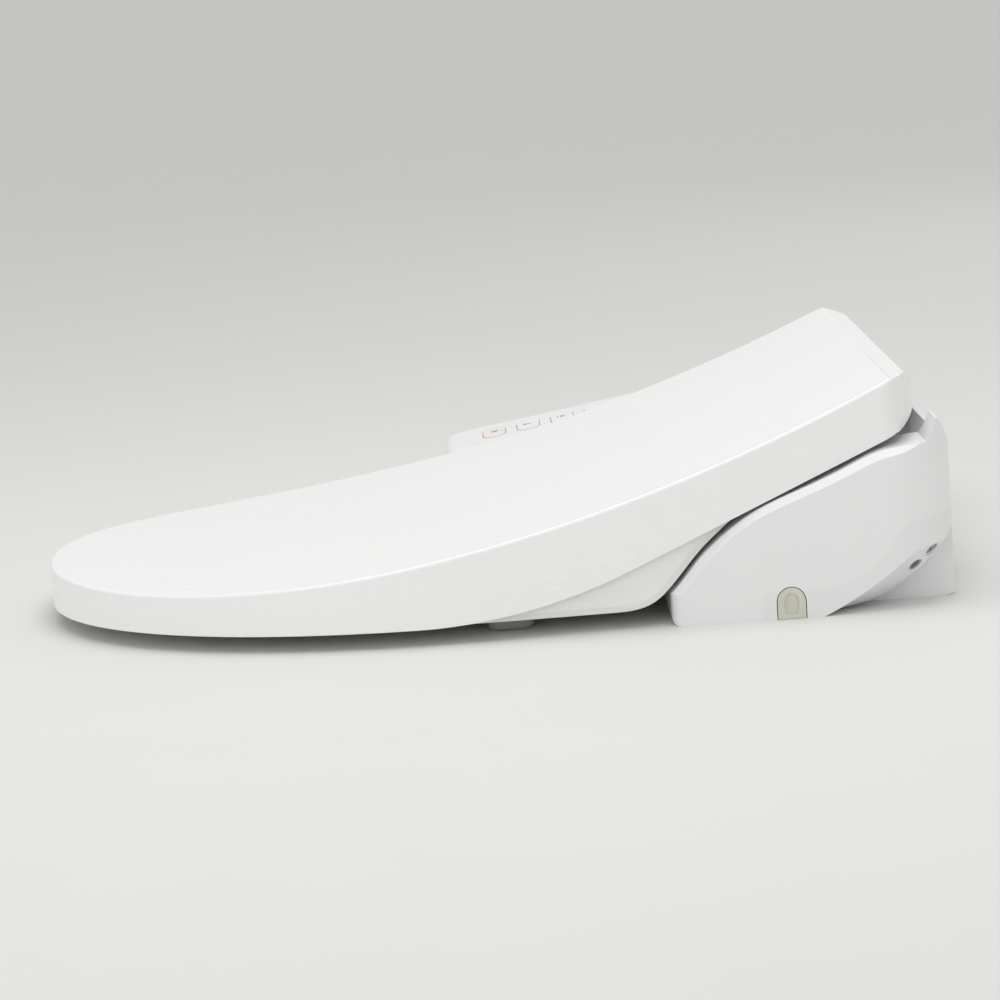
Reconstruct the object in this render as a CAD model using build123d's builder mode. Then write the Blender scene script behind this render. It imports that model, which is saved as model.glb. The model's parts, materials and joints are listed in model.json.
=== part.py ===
from build123d import *
import math
import os

os.makedirs("parts", exist_ok=True)

# Electric bidet seat.  Millimetres, +Z up, the seat's nose points to -Y and the control arm is on -X.
# The origin is midway between the two fixing bolts, on the plane of the bowl's rim.
# Lengths along the seat are given as distances behind the nose; at() turns one into a Y value.

BOLT_LINE = 470.0        # nose of the lid to the line of the fixing bolts


def at(distance):
    return distance - BOLT_LINE


# Lid
LID_HALF = 185.0         # half width at the widest place
LID_REAR_HALF = 172.0    # half width at the rear corners
NOSE_LENGTH = 237.0      # nose to the widest place
NOSE_POWER = 2.21        # squareness of the nose
LID_WALL = 3.5
LID_SKIRT_Z = 9.6        # lower edge of the skirt along the front half
LID_LOW_Z = 32.0         # lowest point of the top face
LID_LOW_AT = 60.0
LID_RISE = 5.306e-4      # curvature of the top face
LID_CREST_AT = 486.0     # where the top face turns down to the rear wall

# Hinge line, shared by lid and seat
HINGE_Y = at(488)
HINGE_Z = 108.0
PIN_R = 4.0
RUNNING = 0.05           # radial clearance of a running pin
TROUGH_R = 28.8          # room in the body for the lid's rear edge to swing
TROUGH_HALF = 140.0

# Hinge lugs of the body, each holding a damper
LUG_X = 74.0
LUG_T = 32.0
LUG_R = 13.0
DAMPER_R = 9.0

# Seat
SEAT_IN = 5.7            # seat's side inside the lid's outline
SEAT_WALL = 3.0
SEAT_Z = 10.0            # underside above the bowl's rim
SEAT_LIP = 3.5           # parting of the two shells above the underside
SEAT_REAR = 457.0
HOLE_FRONT = 82.0
HOLE_REAR = 326.0
HOLE_HALF = 104.0

# Body
BODY_FRONT = 358.0
BODY_HALF = 182.0
BODY_WALL = 3.0
REAR_SIDE = 516.0
REAR_MIDDLE = 524.5
BELLY_HALF = 148.0       # the deep middle of the base
FLOOR_Z = 1.5
FLOOR_TOP = 4.5
PLATE_HALF = 105.0
PLATE_FRONT = 427.0
PLATE_REAR = 508.0
PLATE_T = 6.0

# Nozzles
NOZZLE_R = 6.0
NOZZLE_X = 12.0
NOZZLE_TILT = 28.0
NOZZLE_LENGTH = 120.0
NOZZLE_TIP = 18.0
RACK_FROM = 39.0
RACK_TEETH = 24
GEAR_MODULE = 1.0
PINION_TEETH = 12
CONTACT = 40.0           # tip to the pinion, nozzle drawn in
RACK_PITCH_DROP = 7.5    # nozzle axis to the rack's pitch line

# Control arm
ARM_IN = 197.0
ARM_OUT = 275.0
ARM_FRONT = 239.0
ARM_SLOPE = 8.7
ARM_Z = 49.5             # top face at ARM_TOP_FROM
ARM_TOP_FROM = 250.0
ARM_WALL = 2.5
KEY_X = -(ARM_IN + ARM_OUT) / 2
KEY_GAP = 0.35
KEY_PROUD = 0.9
KEY_DEPTH = 4.0


# ---------------------------------------------------------------- shared outlines

def lid_top(distance):
    return LID_LOW_Z + LID_RISE * (distance - LID_LOW_AT) ** 2


def nose_points(half, length, steps=16):
    """Squared-off half ellipse from +X round the nose to -X."""
    points = []
    for step in range(steps + 1):
        angle = math.pi * step / steps
        across = math.copysign(abs(math.cos(angle)) ** (2 / NOSE_POWER), math.cos(angle))
        along = abs(math.sin(angle)) ** (2 / NOSE_POWER)
        points.append((half * across, at(NOSE_LENGTH - length * along)))
    return points


def lid_plan(inset, rear_side=488.0, rear_middle=514.5, corner=14.0):
    """The lid's outline from above, drawn in by inset."""
    half = LID_HALF - inset
    rear_half = LID_REAR_HALF - inset
    middle_half = (half + rear_half) / 2 + 3.3
    middle = (NOSE_LENGTH + rear_side) / 2
    nose = nose_points(half, NOSE_LENGTH - inset)
    with BuildSketch() as plan:
        with BuildLine():
            Spline(nose, tangents=[(0, -1), (0, 1)])
            ThreePointArc(nose[-1], (-middle_half, at(middle)), (-rear_half, at(rear_side - inset)))
            ThreePointArc((-rear_half, at(rear_side - inset)), (0, at(rear_middle - inset)),
                          (rear_half, at(rear_side - inset)))
            ThreePointArc((rear_half, at(rear_side - inset)), (middle_half, at(middle)), nose[0])
        make_face()
        fillet(plan.vertices().group_by(Axis.Y)[-1], max(corner - inset, 3))
    return plan.sketch


def lid_side(drop, floor=False):
    """The lid's outline from the side; drop lowers it to the inner face, floor opens the bottom."""
    top = [(at(d), lid_top(d) - drop) for d in (-8, 60, 130, 200, 270, 340, 410, LID_CREST_AT)]
    crest = top[-1]
    rear_top = (at(497.5 - 0.8 * drop), 126.5 - drop)
    rear_mid = (at(508.5 - drop), 113.5 - 0.3 * drop)
    rear_low = (at(514.5 - drop), 98)
    with BuildSketch(Plane.YZ) as side:
        with BuildLine():
            Spline(top)
            Line(crest, rear_top)
            ThreePointArc(rear_top, rear_mid, rear_low)
            if floor:
                Polyline(rear_low, (rear_low[0], -5), (top[0][0], -5), top[0])
            else:
                bend_start = (at(216.6), LID_SKIRT_Z)
                bend_end = (at(332.2), 32.2)
                Polyline(rear_low, (at(489), 97.2), (at(481), 94.0), bend_end)
                TangentArc(bend_start, bend_end, tangent=(1, 0))
                Polyline(bend_start, (top[0][0], LID_SKIRT_Z), top[0])
        make_face()
    return side.sketch


DECK = [(365.8, 26.3), (374.8, 36.9), (386.5, 47.4), (403.7, 59.4), (432, 71.2), (460, 82.4),
        (477, 89.2), (490, 91.3)]
DECK_START = (BODY_FRONT, 18.0)
DECK_END = (512.0, 93.0)


def body_plan(inset):
    """The body's outline from above, drawn in by inset."""
    half = BODY_HALF - inset
    front = at(BODY_FRONT + inset)
    rear = at(REAR_SIDE - inset)
    with BuildSketch() as plan:
        with BuildLine():
            Polyline((-half, rear), (-half, front), (half, front), (half, rear))
            ThreePointArc((half, rear), (0, at(REAR_MIDDLE - inset)), (-half, rear))
        make_face()
        fillet(plan.vertices().group_by(Axis.Y)[-1], 36 - inset)
        fillet(plan.vertices().group_by(Axis.Y)[0], 8 - inset)
    return plan.sketch


def body_side(inset):
    """The body's outline from the side, drawn in by inset."""
    front = at(BODY_FRONT + inset)
    deck = raised([(at(d), z) for d, z in [DECK_START] + DECK + [DECK_END]], -inset)
    deck[0] = (front, DECK_START[1] - 0.5 * inset)
    rear = at(REAR_MIDDLE - inset)
    crest = (at(517.5 - inset), 91 - inset)
    with BuildSketch(Plane.YZ) as side:
        with BuildLine():
            Line((front, inset), deck[0])
            Spline(deck)
            Line(deck[-1], crest)
            ThreePointArc(crest, (at(522.3 - inset), 62), (rear, 36))
            Line((rear, 36), (rear, 12 + inset))
            ThreePointArc((rear, 12 + inset), (at(521 - inset), 3.5 + inset), (at(512.5 - inset), inset))
            Line((at(512.5 - inset), inset), (front, inset))
        make_face()
        fillet(side.vertices().group_by(Axis.X)[0].sort_by(Axis.Z)[0], 4 - inset)
    return side.sketch


def body_envelope(inset):
    plan = body_plan(inset)
    side = body_side(inset)
    with BuildPart() as envelope:
        extrude(plan, amount=120)
        extrude(side, amount=200, both=True, mode=Mode.INTERSECT)
    return envelope.part


def below_parting():
    """Side outline of the lower base: everything under the seam with the top cover."""
    seam = [(412, 15.8), (433, 15.0), (447, 15.8), (459.3, 19.8), (468.4, 24.2), (476.5, 31.4),
            (483.1, 41), (488.4, 46.8), (497.4, 49.4), (511.2, 50.9), (530, 51.5)]
    seam = [(at(d), z) for d, z in seam]
    with BuildSketch(Plane.YZ) as side:
        with BuildLine():
            Line((at(408), -5), (at(408), 12))
            ThreePointArc((at(408), 12), (at(409.2), 14.7), seam[0])
            Spline(seam)
            Polyline(seam[-1], (seam[-1][0], -5), (at(408), -5))
        make_face()
    return side.sketch


def strip(upper, lower):
    """Face in the side view between two point lists that run the same way along the seat."""
    with BuildSketch(Plane.YZ) as side:
        with BuildLine():
            Spline(upper)
            Line(upper[-1], lower[-1])
            Spline(lower)
            Line(lower[0], upper[0])
        make_face()
    return side.sketch


def raised(points, distance):
    """The same run of points, moved square to itself by distance."""
    moved = []
    for i, (y, z) in enumerate(points):
        before = points[max(i - 1, 0)]
        after = points[min(i + 1, len(points) - 1)]
        dy = after[0] - before[0]
        dz = after[1] - before[1]
        size = math.hypot(dy, dz)
        moved.append((y - distance * dz / size, z + distance * dy / size))
    return moved


# ---------------------------------------------------------------- lid

lid_outer_plan = lid_plan(0)
lid_inner_plan = lid_plan(LID_WALL)
lid_outer_side = lid_side(0)
lid_inner_side = lid_side(LID_WALL, floor=True)

with BuildPart() as lid_hollow:
    extrude(lid_inner_plan, amount=150)
    extrude(lid_inner_side, amount=200, both=True, mode=Mode.INTERSECT)

LID_EAR_X = 97.0
LID_EAR_T = 10.0

with BuildPart() as lid:
    extrude(lid_outer_plan, amount=150)
    extrude(lid_outer_side, amount=200, both=True, mode=Mode.INTERSECT)
    top_face = lid.faces().filter_by(lambda f: f.center().Z > 40 and f.normal_at().Z > 0.6).sort_by(SortBy.AREA)[-1]
    fillet(top_face.outer_wire().edges(), 1.8)
    add(lid_hollow.part, mode=Mode.SUBTRACT)
    for sign in (-1, 1):
        with BuildSketch(Plane.YZ.offset(sign * LID_EAR_X)) as ear:
            with Locations((HINGE_Y, HINGE_Z)):
                Circle(10)
            with BuildLine():
                Polyline((HINGE_Y - 9.8, HINGE_Z), (HINGE_Y + 9, HINGE_Z), (HINGE_Y + 7.5, HINGE_Z + 17.2),
                         (HINGE_Y - 2, HINGE_Z + 18.4), (HINGE_Y - 12.5, HINGE_Z + 13.2),
                         (HINGE_Y - 9.8, HINGE_Z))
            make_face()
        extrude(amount=LID_EAR_T / 2, both=True)
        with BuildSketch(Plane.YZ.offset(sign * LID_EAR_X)) as ear_bore:
            with Locations((HINGE_Y, HINGE_Z)):
                Circle(PIN_R if sign > 0 else PIN_R + RUNNING)
        extrude(amount=LID_EAR_T / 2 + 1, both=True, mode=Mode.SUBTRACT)
lid.part.label = "lid"
export_step(lid.part, "parts/lid.step")

# Four rubber pads between lid and seat.
with BuildPart() as lid_bumpers:
    for pad_x, pad_at in ((122, 100), (-122, 100), (150, 300), (-150, 300)):
        with BuildSketch(Plane.XY.offset(20)) as pad:
            with Locations((pad_x, at(pad_at))):
                Circle(7)
        extrude(amount=80)
    pad_run = [(at(d), lid_top(d)) for d in (60, 100, 150, 200, 250, 300, 340)]
    pad_strip = strip([(y, z - LID_WALL) for y, z in pad_run], [(y, z - LID_WALL - 1.7) for y, z in pad_run])
    extrude(pad_strip, amount=200, both=True, mode=Mode.INTERSECT)
lid_bumpers.part.label = "lid_bumpers"
export_step(lid_bumpers.part, "parts/lid_bumpers.step")


# ---------------------------------------------------------------- seat

SEAT_TOP = [(-8, 28.3), (60, 26.4), (130, 28.8), (200, 37.1), (270, 48.8), (320, 57.5), (360, 66.5),
            (400, 80.0), (430, 91.5), (470, 108.0)]
SEAT_UNDER = [(328, 10.0), (338, 10.6), (349, 14.3), (356, 19.8), (363.3, 27.5), (375.2, 40.8),
              (387, 51.3), (401.3, 61.9), (430, 74.6), (470, 91.5)]


def seat_plan(inset):
    """Outline of the seat with its hole, drawn in by inset on both edges."""
    outer = lid_plan(SEAT_IN + inset)
    middle = (HOLE_FRONT + HOLE_REAR) / 2
    length = (HOLE_REAR - HOLE_FRONT) / 2 + inset
    half = HOLE_HALF + inset
    hole = []
    for step in range(24):
        angle = 2 * math.pi * step / 24
        across = math.copysign(abs(math.cos(angle)) ** 0.93, math.cos(angle))
        along = math.copysign(abs(math.sin(angle)) ** 0.93, math.sin(angle))
        hole.append((half * across * (1 + 0.04 * along), at(middle + length * along)))
    with BuildSketch() as plan:
        add(outer)
        with BuildLine():
            Spline(hole, periodic=True)
        make_face(mode=Mode.SUBTRACT)
        with Locations((0, at(SEAT_REAR - inset) + 100)):
            Rectangle(500, 200, mode=Mode.SUBTRACT)
    return plan.sketch


def seat_side(top_drop, under_lift, front_from=-8):
    """Side outline of the seat between its top and its underside."""
    top = [(at(d), z - top_drop) for d, z in SEAT_TOP]
    under = raised([(at(d), z) for d, z in SEAT_UNDER], under_lift)
    with BuildSketch(Plane.YZ) as side:
        with BuildLine():
            Spline(top)
            Line(top[-1], under[-1])
            Spline(under, tangents=[(1, 0), (under[-1][0] - under[-2][0], under[-1][1] - under[-2][1])])
            Line(under[0], (at(front_from), under[0][1]))
            Line((at(front_from), under[0][1]), top[0])
        make_face()
    return side.sketch


def under_region(lift):
    """Everything below the seat's underside raised by lift."""
    under = raised([(at(d), z) for d, z in SEAT_UNDER], lift)
    with BuildSketch(Plane.YZ) as side:
        with BuildLine():
            Line((at(-10), under[0][1]), under[0])
            Spline(under, tangents=[(1, 0), (under[-1][0] - under[-2][0], under[-1][1] - under[-2][1])])
            Polyline(under[-1], (under[-1][0], -10), (at(-10), -10), (at(-10), under[0][1]))
        make_face()
    return side.sketch


def splash_recess(grow):
    """Room under the rear of the seat for the nozzles and the warm-air flap."""
    with BuildSketch(Plane.YZ) as side:
        with BuildLine():
            Polyline((at(290), -5), (at(290), 5 + grow), (at(331), 30 + grow), (at(362), 34 + grow),
                     (at(372), 50 + grow), (at(392), 54 + grow), (at(392), -5), close=True)
        make_face()
    with BuildPart() as recess:
        extrude(side.sketch, amount=82 + grow, both=True)
    return recess.part


def rear_notches(grow):
    """Gaps in the rear edge of the seat, where the hinge lugs of the body stand."""
    with BuildPart() as notches:
        for sign in (-1, 1):
            with BuildSketch() as notch:
                with Locations((sign * LUG_X, at(470))):
                    Rectangle(LUG_T + 3 + 2 * grow, 60 + 2 * grow)
            extrude(amount=140)
    return notches.part


lug_notches = rear_notches(0)
lug_notches_grown = rear_notches(SEAT_WALL)
seat_ring = seat_plan(0)
seat_ring_inner = seat_plan(SEAT_WALL)
seat_side_outer = seat_side(0, 0)
seat_side_inner = seat_side(SEAT_WALL, SEAT_LIP - 0.5)
lip_region = under_region(SEAT_LIP)
recess = splash_recess(0)
recess_grown = splash_recess(SEAT_WALL)

with BuildPart() as seat_block:
    extrude(seat_ring, amount=130)
    extrude(seat_side_outer, amount=200, both=True, mode=Mode.INTERSECT)
    seat_top_face = seat_block.faces().filter_by(lambda f: f.normal_at().Z > 0.6).sort_by(SortBy.AREA)[-1]
    fillet(seat_top_face.edges().filter_by(lambda e: e.center().Y < at(SEAT_REAR) - 2), 6)
    add(recess, mode=Mode.SUBTRACT)
    add(lug_notches, mode=Mode.SUBTRACT)

with BuildPart() as seat_hollow:
    extrude(seat_ring_inner, amount=130)
    extrude(seat_side_inner, amount=200, both=True, mode=Mode.INTERSECT)
    add(recess_grown, mode=Mode.SUBTRACT)
    add(lug_notches_grown, mode=Mode.SUBTRACT)

SEAT_EAR_X = 46.0
SEAT_EAR_T = 20.0

with BuildPart() as seat_upper_shell:
    add(seat_block.part)
    extrude(lip_region, amount=200, both=True, mode=Mode.SUBTRACT)
    add(seat_hollow.part, mode=Mode.SUBTRACT)
    for sign in (-1, 1):
        with BuildSketch(Plane.YZ.offset(sign * SEAT_EAR_X)) as ear:
            with Locations((HINGE_Y, HINGE_Z)):
                Circle(12)
            with BuildLine():
                Polyline((HINGE_Y, HINGE_Z + 11.8), (at(456), 99), (at(456), 90), (HINGE_Y - 6, HINGE_Z - 10),
                         (HINGE_Y, HINGE_Z), close=True)
            make_face()
        extrude(amount=SEAT_EAR_T / 2, both=True)
        with BuildSketch(Plane.YZ.offset(sign * SEAT_EAR_X)) as ear_bore:
            with Locations((HINGE_Y, HINGE_Z)):
                Circle(PIN_R if sign < 0 else PIN_R + RUNNING)
        extrude(amount=SEAT_EAR_T / 2 + 1, both=True, mode=Mode.SUBTRACT)
seat_upper_shell.part.label = "seat_upper_shell"
export_step(seat_upper_shell.part, "parts/seat_upper_shell.step")

with BuildPart() as seat_lower_shell:
    add(seat_block.part)
    extrude(lip_region, amount=200, both=True, mode=Mode.INTERSECT)
seat_lower_shell.part.label = "seat_lower_shell"
export_step(seat_lower_shell.part, "parts/seat_lower_shell.step")

# Heating mat: a thin foil on the inside of the upper shell.
mat_plan = seat_plan(12)
mat_top = [(at(d), z - SEAT_WALL - 0.2) for d, z in SEAT_TOP]
mat_side = strip(mat_top, [(y, z - 0.8) for y, z in mat_top])
with BuildPart() as seat_heater_mat:
    extrude(mat_plan, amount=130)
    extrude(mat_side, amount=200, both=True, mode=Mode.INTERSECT)
    with BuildSketch() as mat_end:
        with Locations((0, at(480))):
            Rectangle(400, 200)
    extrude(amount=150, mode=Mode.SUBTRACT)
seat_heater_mat.part.label = "seat_heater_mat"
export_step(seat_heater_mat.part, "parts/seat_heater_mat.step")

# Occupancy sensor: a small board on the lower shell.
with BuildPart() as seat_sensor:
    with BuildSketch(Plane.XY.offset(SEAT_Z + SEAT_LIP)) as sensor_board:
        with Locations((142, at(250))):
            RectangleRounded(26, 44, 3)
    extrude(amount=1.6)
    with BuildSketch(Plane.XY.offset(SEAT_Z + SEAT_LIP + 1.6)) as sensor_can:
        with Locations((142, at(244))):
            Rectangle(18, 18)
    extrude(amount=5)
seat_sensor.part.label = "seat_sensor"
export_step(seat_sensor.part, "parts/seat_sensor.step")

# Feet under the seat.
with BuildPart() as seat_bumpers:
    for foot_x, foot_at in ((150, 269), (-150, 269), (96, 84), (-96, 84)):
        with BuildSketch(Plane.XY) as foot:
            with Locations((foot_x, at(foot_at))):
                SlotOverall(26, 15, rotation=90)
        extrude(amount=SEAT_Z)
    fillet(seat_bumpers.faces().group_by(Axis.Z)[0].edges(), 3)
seat_bumpers.part.label = "seat_bumpers"
export_step(seat_bumpers.part, "parts/seat_bumpers.step")


# ---------------------------------------------------------------- body: top cover and lower base

body_outer = body_envelope(0)

BEVEL = 4.0


def above_deck(x, drop):
    """Everything above the deck, moved down square to itself by drop."""
    run = [(at(d), z) for d, z in [DECK_START] + DECK + [DECK_END]]
    points = raised(run, -drop)
    with BuildSketch(Plane.YZ.offset(x)) as face:
        with BuildLine():
            Spline(points)
            Polyline(points[-1], (at(540), points[-1][1]), (at(540), 140), (at(330), 140),
                     (at(330), points[0][1] - 28), points[0])
        make_face()
    return face.sketch


# Bevel along the front and top edges of the side walls.
with BuildPart() as body_block:
    add(body_outer)
    for sign in (-1, 1):
        loft([above_deck(sign * (BODY_HALF - BEVEL), 0), above_deck(sign * (BODY_HALF + 2), BEVEL + 2)],
             ruled=True, mode=Mode.SUBTRACT)
body_inner = body_envelope(BODY_WALL)
parting = below_parting()

# Sloping band along the lower rear corner, between the deep belly and the side.
BAND_LOW = [(439, -1), (452.8, 0.5), (463, 2.5), (474.3, 6), (488.7, 14), (503.2, 25.5), (511, 34), (535, 55)]
BAND_HIGH = [(439, -0.9), (445, 2), (456.2, 9), (467.7, 16.5), (482.7, 27.8), (497, 39), (511, 46), (535, 57)]


def band_face(x, run):
    with BuildSketch(Plane.YZ.offset(x)) as face:
        with BuildLine():
            points = [(at(d), z) for d, z in run]
            Spline(points)
            Polyline(points[-1], (points[-1][0], -6), (points[0][0], -6), points[0])
        make_face()
    return face.sketch


def corner_cut(grow):
    """Space cut away under the rear corners; grow moves its surfaces into the body."""
    low = raised(BAND_LOW, grow)
    high = raised(BAND_HIGH, grow)
    with BuildPart() as cut:
        for sign in (-1, 1):
            extrude(band_face(sign * (BELLY_HALF - grow), low), amount=sign * 17)
            loft([band_face(sign * (BELLY_HALF - grow + 17), low), band_face(sign * (BODY_HALF + 4), high)], ruled=True)
    return cut.part


corner_space = corner_cut(0)
corner_space_inner = corner_cut(BODY_WALL)
with BuildPart() as trough:
    with BuildSketch(Plane.YZ) as trough_circle:
        with Locations((HINGE_Y, HINGE_Z)):
            Circle(TROUGH_R)
    extrude(amount=TROUGH_HALF, both=True)
with BuildPart() as trough_outside:
    with BuildSketch(Plane.YZ) as trough_circle_outer:
        with Locations((HINGE_Y, HINGE_Z)):
            Circle(TROUGH_R + BODY_WALL)
    extrude(amount=TROUGH_HALF + BODY_WALL, both=True)


# Hinge lug: reaches back over the trough from the deck.
with BuildPart() as lugs:
    for sign in (-1, 1):
        with BuildSketch(Plane.YZ.offset(sign * LUG_X)) as lug:
            with Locations((HINGE_Y, HINGE_Z)):
                Circle(LUG_R)
            with BuildLine():
                Polyline((HINGE_Y, HINGE_Z + 12.9), (at(455), 96), (at(446), 88), (at(446), 74), (at(468), 78),
                         (HINGE_Y - 6, HINGE_Z - 11), (HINGE_Y, HINGE_Z), close=True)
            make_face()
        extrude(amount=LUG_T / 2, both=True)
    with BuildSketch(Plane.YZ) as swing:
        with BuildLine():
            sweep_from = 360 - 10
            sweep_to = 360 - 135
            inner = LUG_R + 1.4
            CenterArc((HINGE_Y, HINGE_Z), inner, sweep_to, sweep_from - sweep_to)
            CenterArc((HINGE_Y, HINGE_Z), TROUGH_R + 1, sweep_to, sweep_from - sweep_to)
            for turn in (sweep_to, sweep_from):
                c = math.cos(math.radians(turn))
                s = math.sin(math.radians(turn))
                Line((HINGE_Y + inner * c, HINGE_Z + inner * s),
                     (HINGE_Y + (TROUGH_R + 1) * c, HINGE_Z + (TROUGH_R + 1) * s))
        make_face()
    extrude(amount=TROUGH_HALF, both=True, mode=Mode.SUBTRACT)

with BuildPart() as damper_bores:
    # The left lug opens outwards for the lid's damper, the right one inwards for the seat's.
    for start, length, radius in ((LUG_X - 13, 40, DAMPER_R), (LUG_X - 20, 20, PIN_R),
                                  (-LUG_X - 13, 40, DAMPER_R), (-LUG_X - 20, 20, PIN_R)):
        with BuildSketch(Plane.YZ.offset(start)) as bore:
            with Locations((HINGE_Y, HINGE_Z)):
                Circle(radius)
        extrude(amount=length)

BUTTON_AT = 423.8
BUTTON_W = 15.6
BUTTON_TOP = 17.6


def arch(width, top):
    """Arch-topped outline on a side wall, open at the bottom edge."""
    with BuildSketch(Plane.YZ) as face:
        with BuildLine():
            Polyline((at(BUTTON_AT) - width / 2, top - width / 2), (at(BUTTON_AT) - width / 2, -1),
                     (at(BUTTON_AT) + width / 2, -1), (at(BUTTON_AT) + width / 2, top - width / 2))
            ThreePointArc((at(BUTTON_AT) + width / 2, top - width / 2), (at(BUTTON_AT), top),
                          (at(BUTTON_AT) - width / 2, top - width / 2))
        make_face()
    return face.sketch


button_hole = arch(BUTTON_W + 1.0, BUTTON_TOP + 0.5)

# Hood at each rear corner: rises behind the lid's corner and rounds over into the rear wall.
HOOD_FROM = 141.0
HOOD_TO = 178.0
with BuildPart() as hoods:
    for hood_from in (HOOD_FROM, -HOOD_TO):
        with BuildSketch(Plane.YZ.offset(hood_from)) as hood:
            with BuildLine():
                Line((at(499), 85), (at(499), 88.6))
                ThreePointArc((at(499), 88.6), (at(507.3), 97.6), (at(509.9), 104))
                Line((at(509.9), 104), (at(511.2), 104))
                ThreePointArc((at(511.2), 104), (at(514.9), 97.5), (at(517.4), 90.8))
                Polyline((at(517.4), 90.8), (at(517.4), 85), (at(499), 85))
            make_face()
        extrude(amount=HOOD_TO - HOOD_FROM)
    extrude(body_plan(0), amount=120, mode=Mode.INTERSECT)

with BuildPart() as trough_wall:
    add(body_outer)
    add(trough_outside.part, mode=Mode.INTERSECT)

# Openings in the front wall, as centre across, centre height, width, height.
NOZZLE_PORT = (0, 8, 56, 26)
AIR_PORT = (54, 12, 34, 15)
CARTRIDGE = (118, 63.3, 40, 21.6)
INLET = (-130, 30, 40, 40)

with BuildPart() as wall_openings:
    for across, height, width, tall in (NOZZLE_PORT, AIR_PORT):
        with BuildSketch(Plane.XZ.offset(-at(BODY_FRONT + 8))) as port:
            with Locations((across, height)):
                RectangleRounded(width, tall, 3)
        extrude(amount=20)
    with BuildSketch(Plane.XZ.offset(-at(512))) as cartridge_port:
        with Locations((CARTRIDGE[0], CARTRIDGE[1])):
            RectangleRounded(CARTRIDGE[2] + 0.8, CARTRIDGE[3] + 0.8, 2)
    extrude(amount=-20)
    extrude(button_hole, amount=200)

with BuildPart() as inlet_pocket:
    with BuildSketch(Plane.XZ.offset(-at(500))) as pocket_face:
        with Locations((INLET[0], INLET[1])):
            RectangleRounded(INLET[2], INLET[3], 6)
    extrude(amount=-30)

with BuildPart() as inlet_box:
    with BuildSketch(Plane.XZ.offset(-at(497))) as box_face:
        with Locations((INLET[0], INLET[1])):
            RectangleRounded(INLET[2] + 6, INLET[3] + 6, 8)
    extrude(amount=-30)
    add(body_outer, mode=Mode.INTERSECT)

with BuildPart() as top_cover:
    add(body_block.part)
    add(body_inner, mode=Mode.SUBTRACT)
    with BuildSketch(Plane.XY.offset(-1)) as underside:
        with Locations((0, at(435))):
            Rectangle(2 * (BODY_HALF - BODY_WALL), 2 * (435 - BODY_FRONT - BODY_WALL))
    extrude(amount=5, mode=Mode.SUBTRACT)
    add(trough_wall.part)
    add(inlet_box.part)
    extrude(parting, amount=200, both=True, mode=Mode.SUBTRACT)
    add(trough.part, mode=Mode.SUBTRACT)
    add(lugs.part)
    add(hoods.part)
    add(damper_bores.part, mode=Mode.SUBTRACT)
    add(wall_openings.part, mode=Mode.SUBTRACT)
    add(inlet_pocket.part, mode=Mode.SUBTRACT)
top_cover.part.label = "top_cover"
export_step(top_cover.part, "parts/top_cover.step")

# Round ports in the sloping band: the cord's gland and the drain plug.
BAND_NORMAL = Vector(0.576, 0.49, -0.654)
PORT_R = 4.6
CORD_PORT = Plane(origin=(170, at(494), 23.6), z_dir=BAND_NORMAL)
DRAIN_PORT = Plane(origin=(170, at(504.4), 30.4), z_dir=BAND_NORMAL)

with BuildPart() as base_block:
    add(body_block.part)
    extrude(parting, amount=200, both=True, mode=Mode.INTERSECT)
    add(corner_space, mode=Mode.SUBTRACT)
with BuildPart() as base_cavity:
    add(body_inner)
    with BuildSketch(Plane.XY.offset(-5)) as floor_slab:
        with Locations((0, at(440))):
            Rectangle(400, 300)
    extrude(amount=5 + FLOOR_TOP, mode=Mode.SUBTRACT)
    add(corner_space_inner, mode=Mode.SUBTRACT)
with BuildPart() as lower_base:
    add(base_block.part)
    add(base_cavity.part, mode=Mode.SUBTRACT)
    with BuildSketch(Plane.XY.offset(FLOOR_Z)) as front_floor:
        with Locations((0, at((BODY_FRONT + 415) / 2 + 1.8))):
            Rectangle(2 * (BODY_HALF - BODY_WALL - 0.6), 415 - BODY_FRONT - 3.6)
        fillet(front_floor.vertices().group_by(Axis.Y)[0], 5)
    extrude(amount=FLOOR_TOP - FLOOR_Z)
    # slot in the floor's front edge that the nozzles pass over
    with BuildSketch(Plane.XY) as nozzle_slot:
        with Locations((0, at(BODY_FRONT + 5))):
            Rectangle(2 * NOZZLE_X + 20, 20)
    extrude(amount=FLOOR_TOP + 1, mode=Mode.SUBTRACT)
    with BuildSketch(Plane.XY) as recess_block:
        with Locations((0, at((PLATE_FRONT - 6 + 519) / 2))):
            Rectangle(2 * PLATE_HALF + 12, 519 - PLATE_FRONT + 6)
    extrude(amount=11.5)
    with BuildSketch(Plane.XY.offset(-1)) as recess_floor:
        with Locations((0, at((PLATE_FRONT - 1 + 540) / 2))):
            Rectangle(2 * PLATE_HALF + 1.2, 541 - PLATE_FRONT)
    extrude(amount=9.3, mode=Mode.SUBTRACT)
    add(inlet_pocket.part, mode=Mode.SUBTRACT)
    extrude(button_hole, amount=200, mode=Mode.SUBTRACT)
    for port in (CORD_PORT, DRAIN_PORT):
        with BuildSketch(port.offset(-12)) as port_hole:
            Circle(PORT_R)
        extrude(amount=24, mode=Mode.SUBTRACT)
    # bracket that guides the release button's stem and backs its spring
    with BuildSketch(Plane.YZ.offset(BODY_HALF - 33)) as bracket_face:
        with Locations((at(BUTTON_AT), (FLOOR_Z + 17) / 2)):
            Rectangle(14, 17 - FLOOR_Z)
        with Locations((at(BUTTON_AT), 10)):
            Circle(3.3, mode=Mode.SUBTRACT)
    extrude(amount=4)
lower_base.part.label = "lower_base"
export_step(lower_base.part, "parts/lower_base.step")


# ---------------------------------------------------------------- hinge: dampers, shafts and pins

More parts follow.
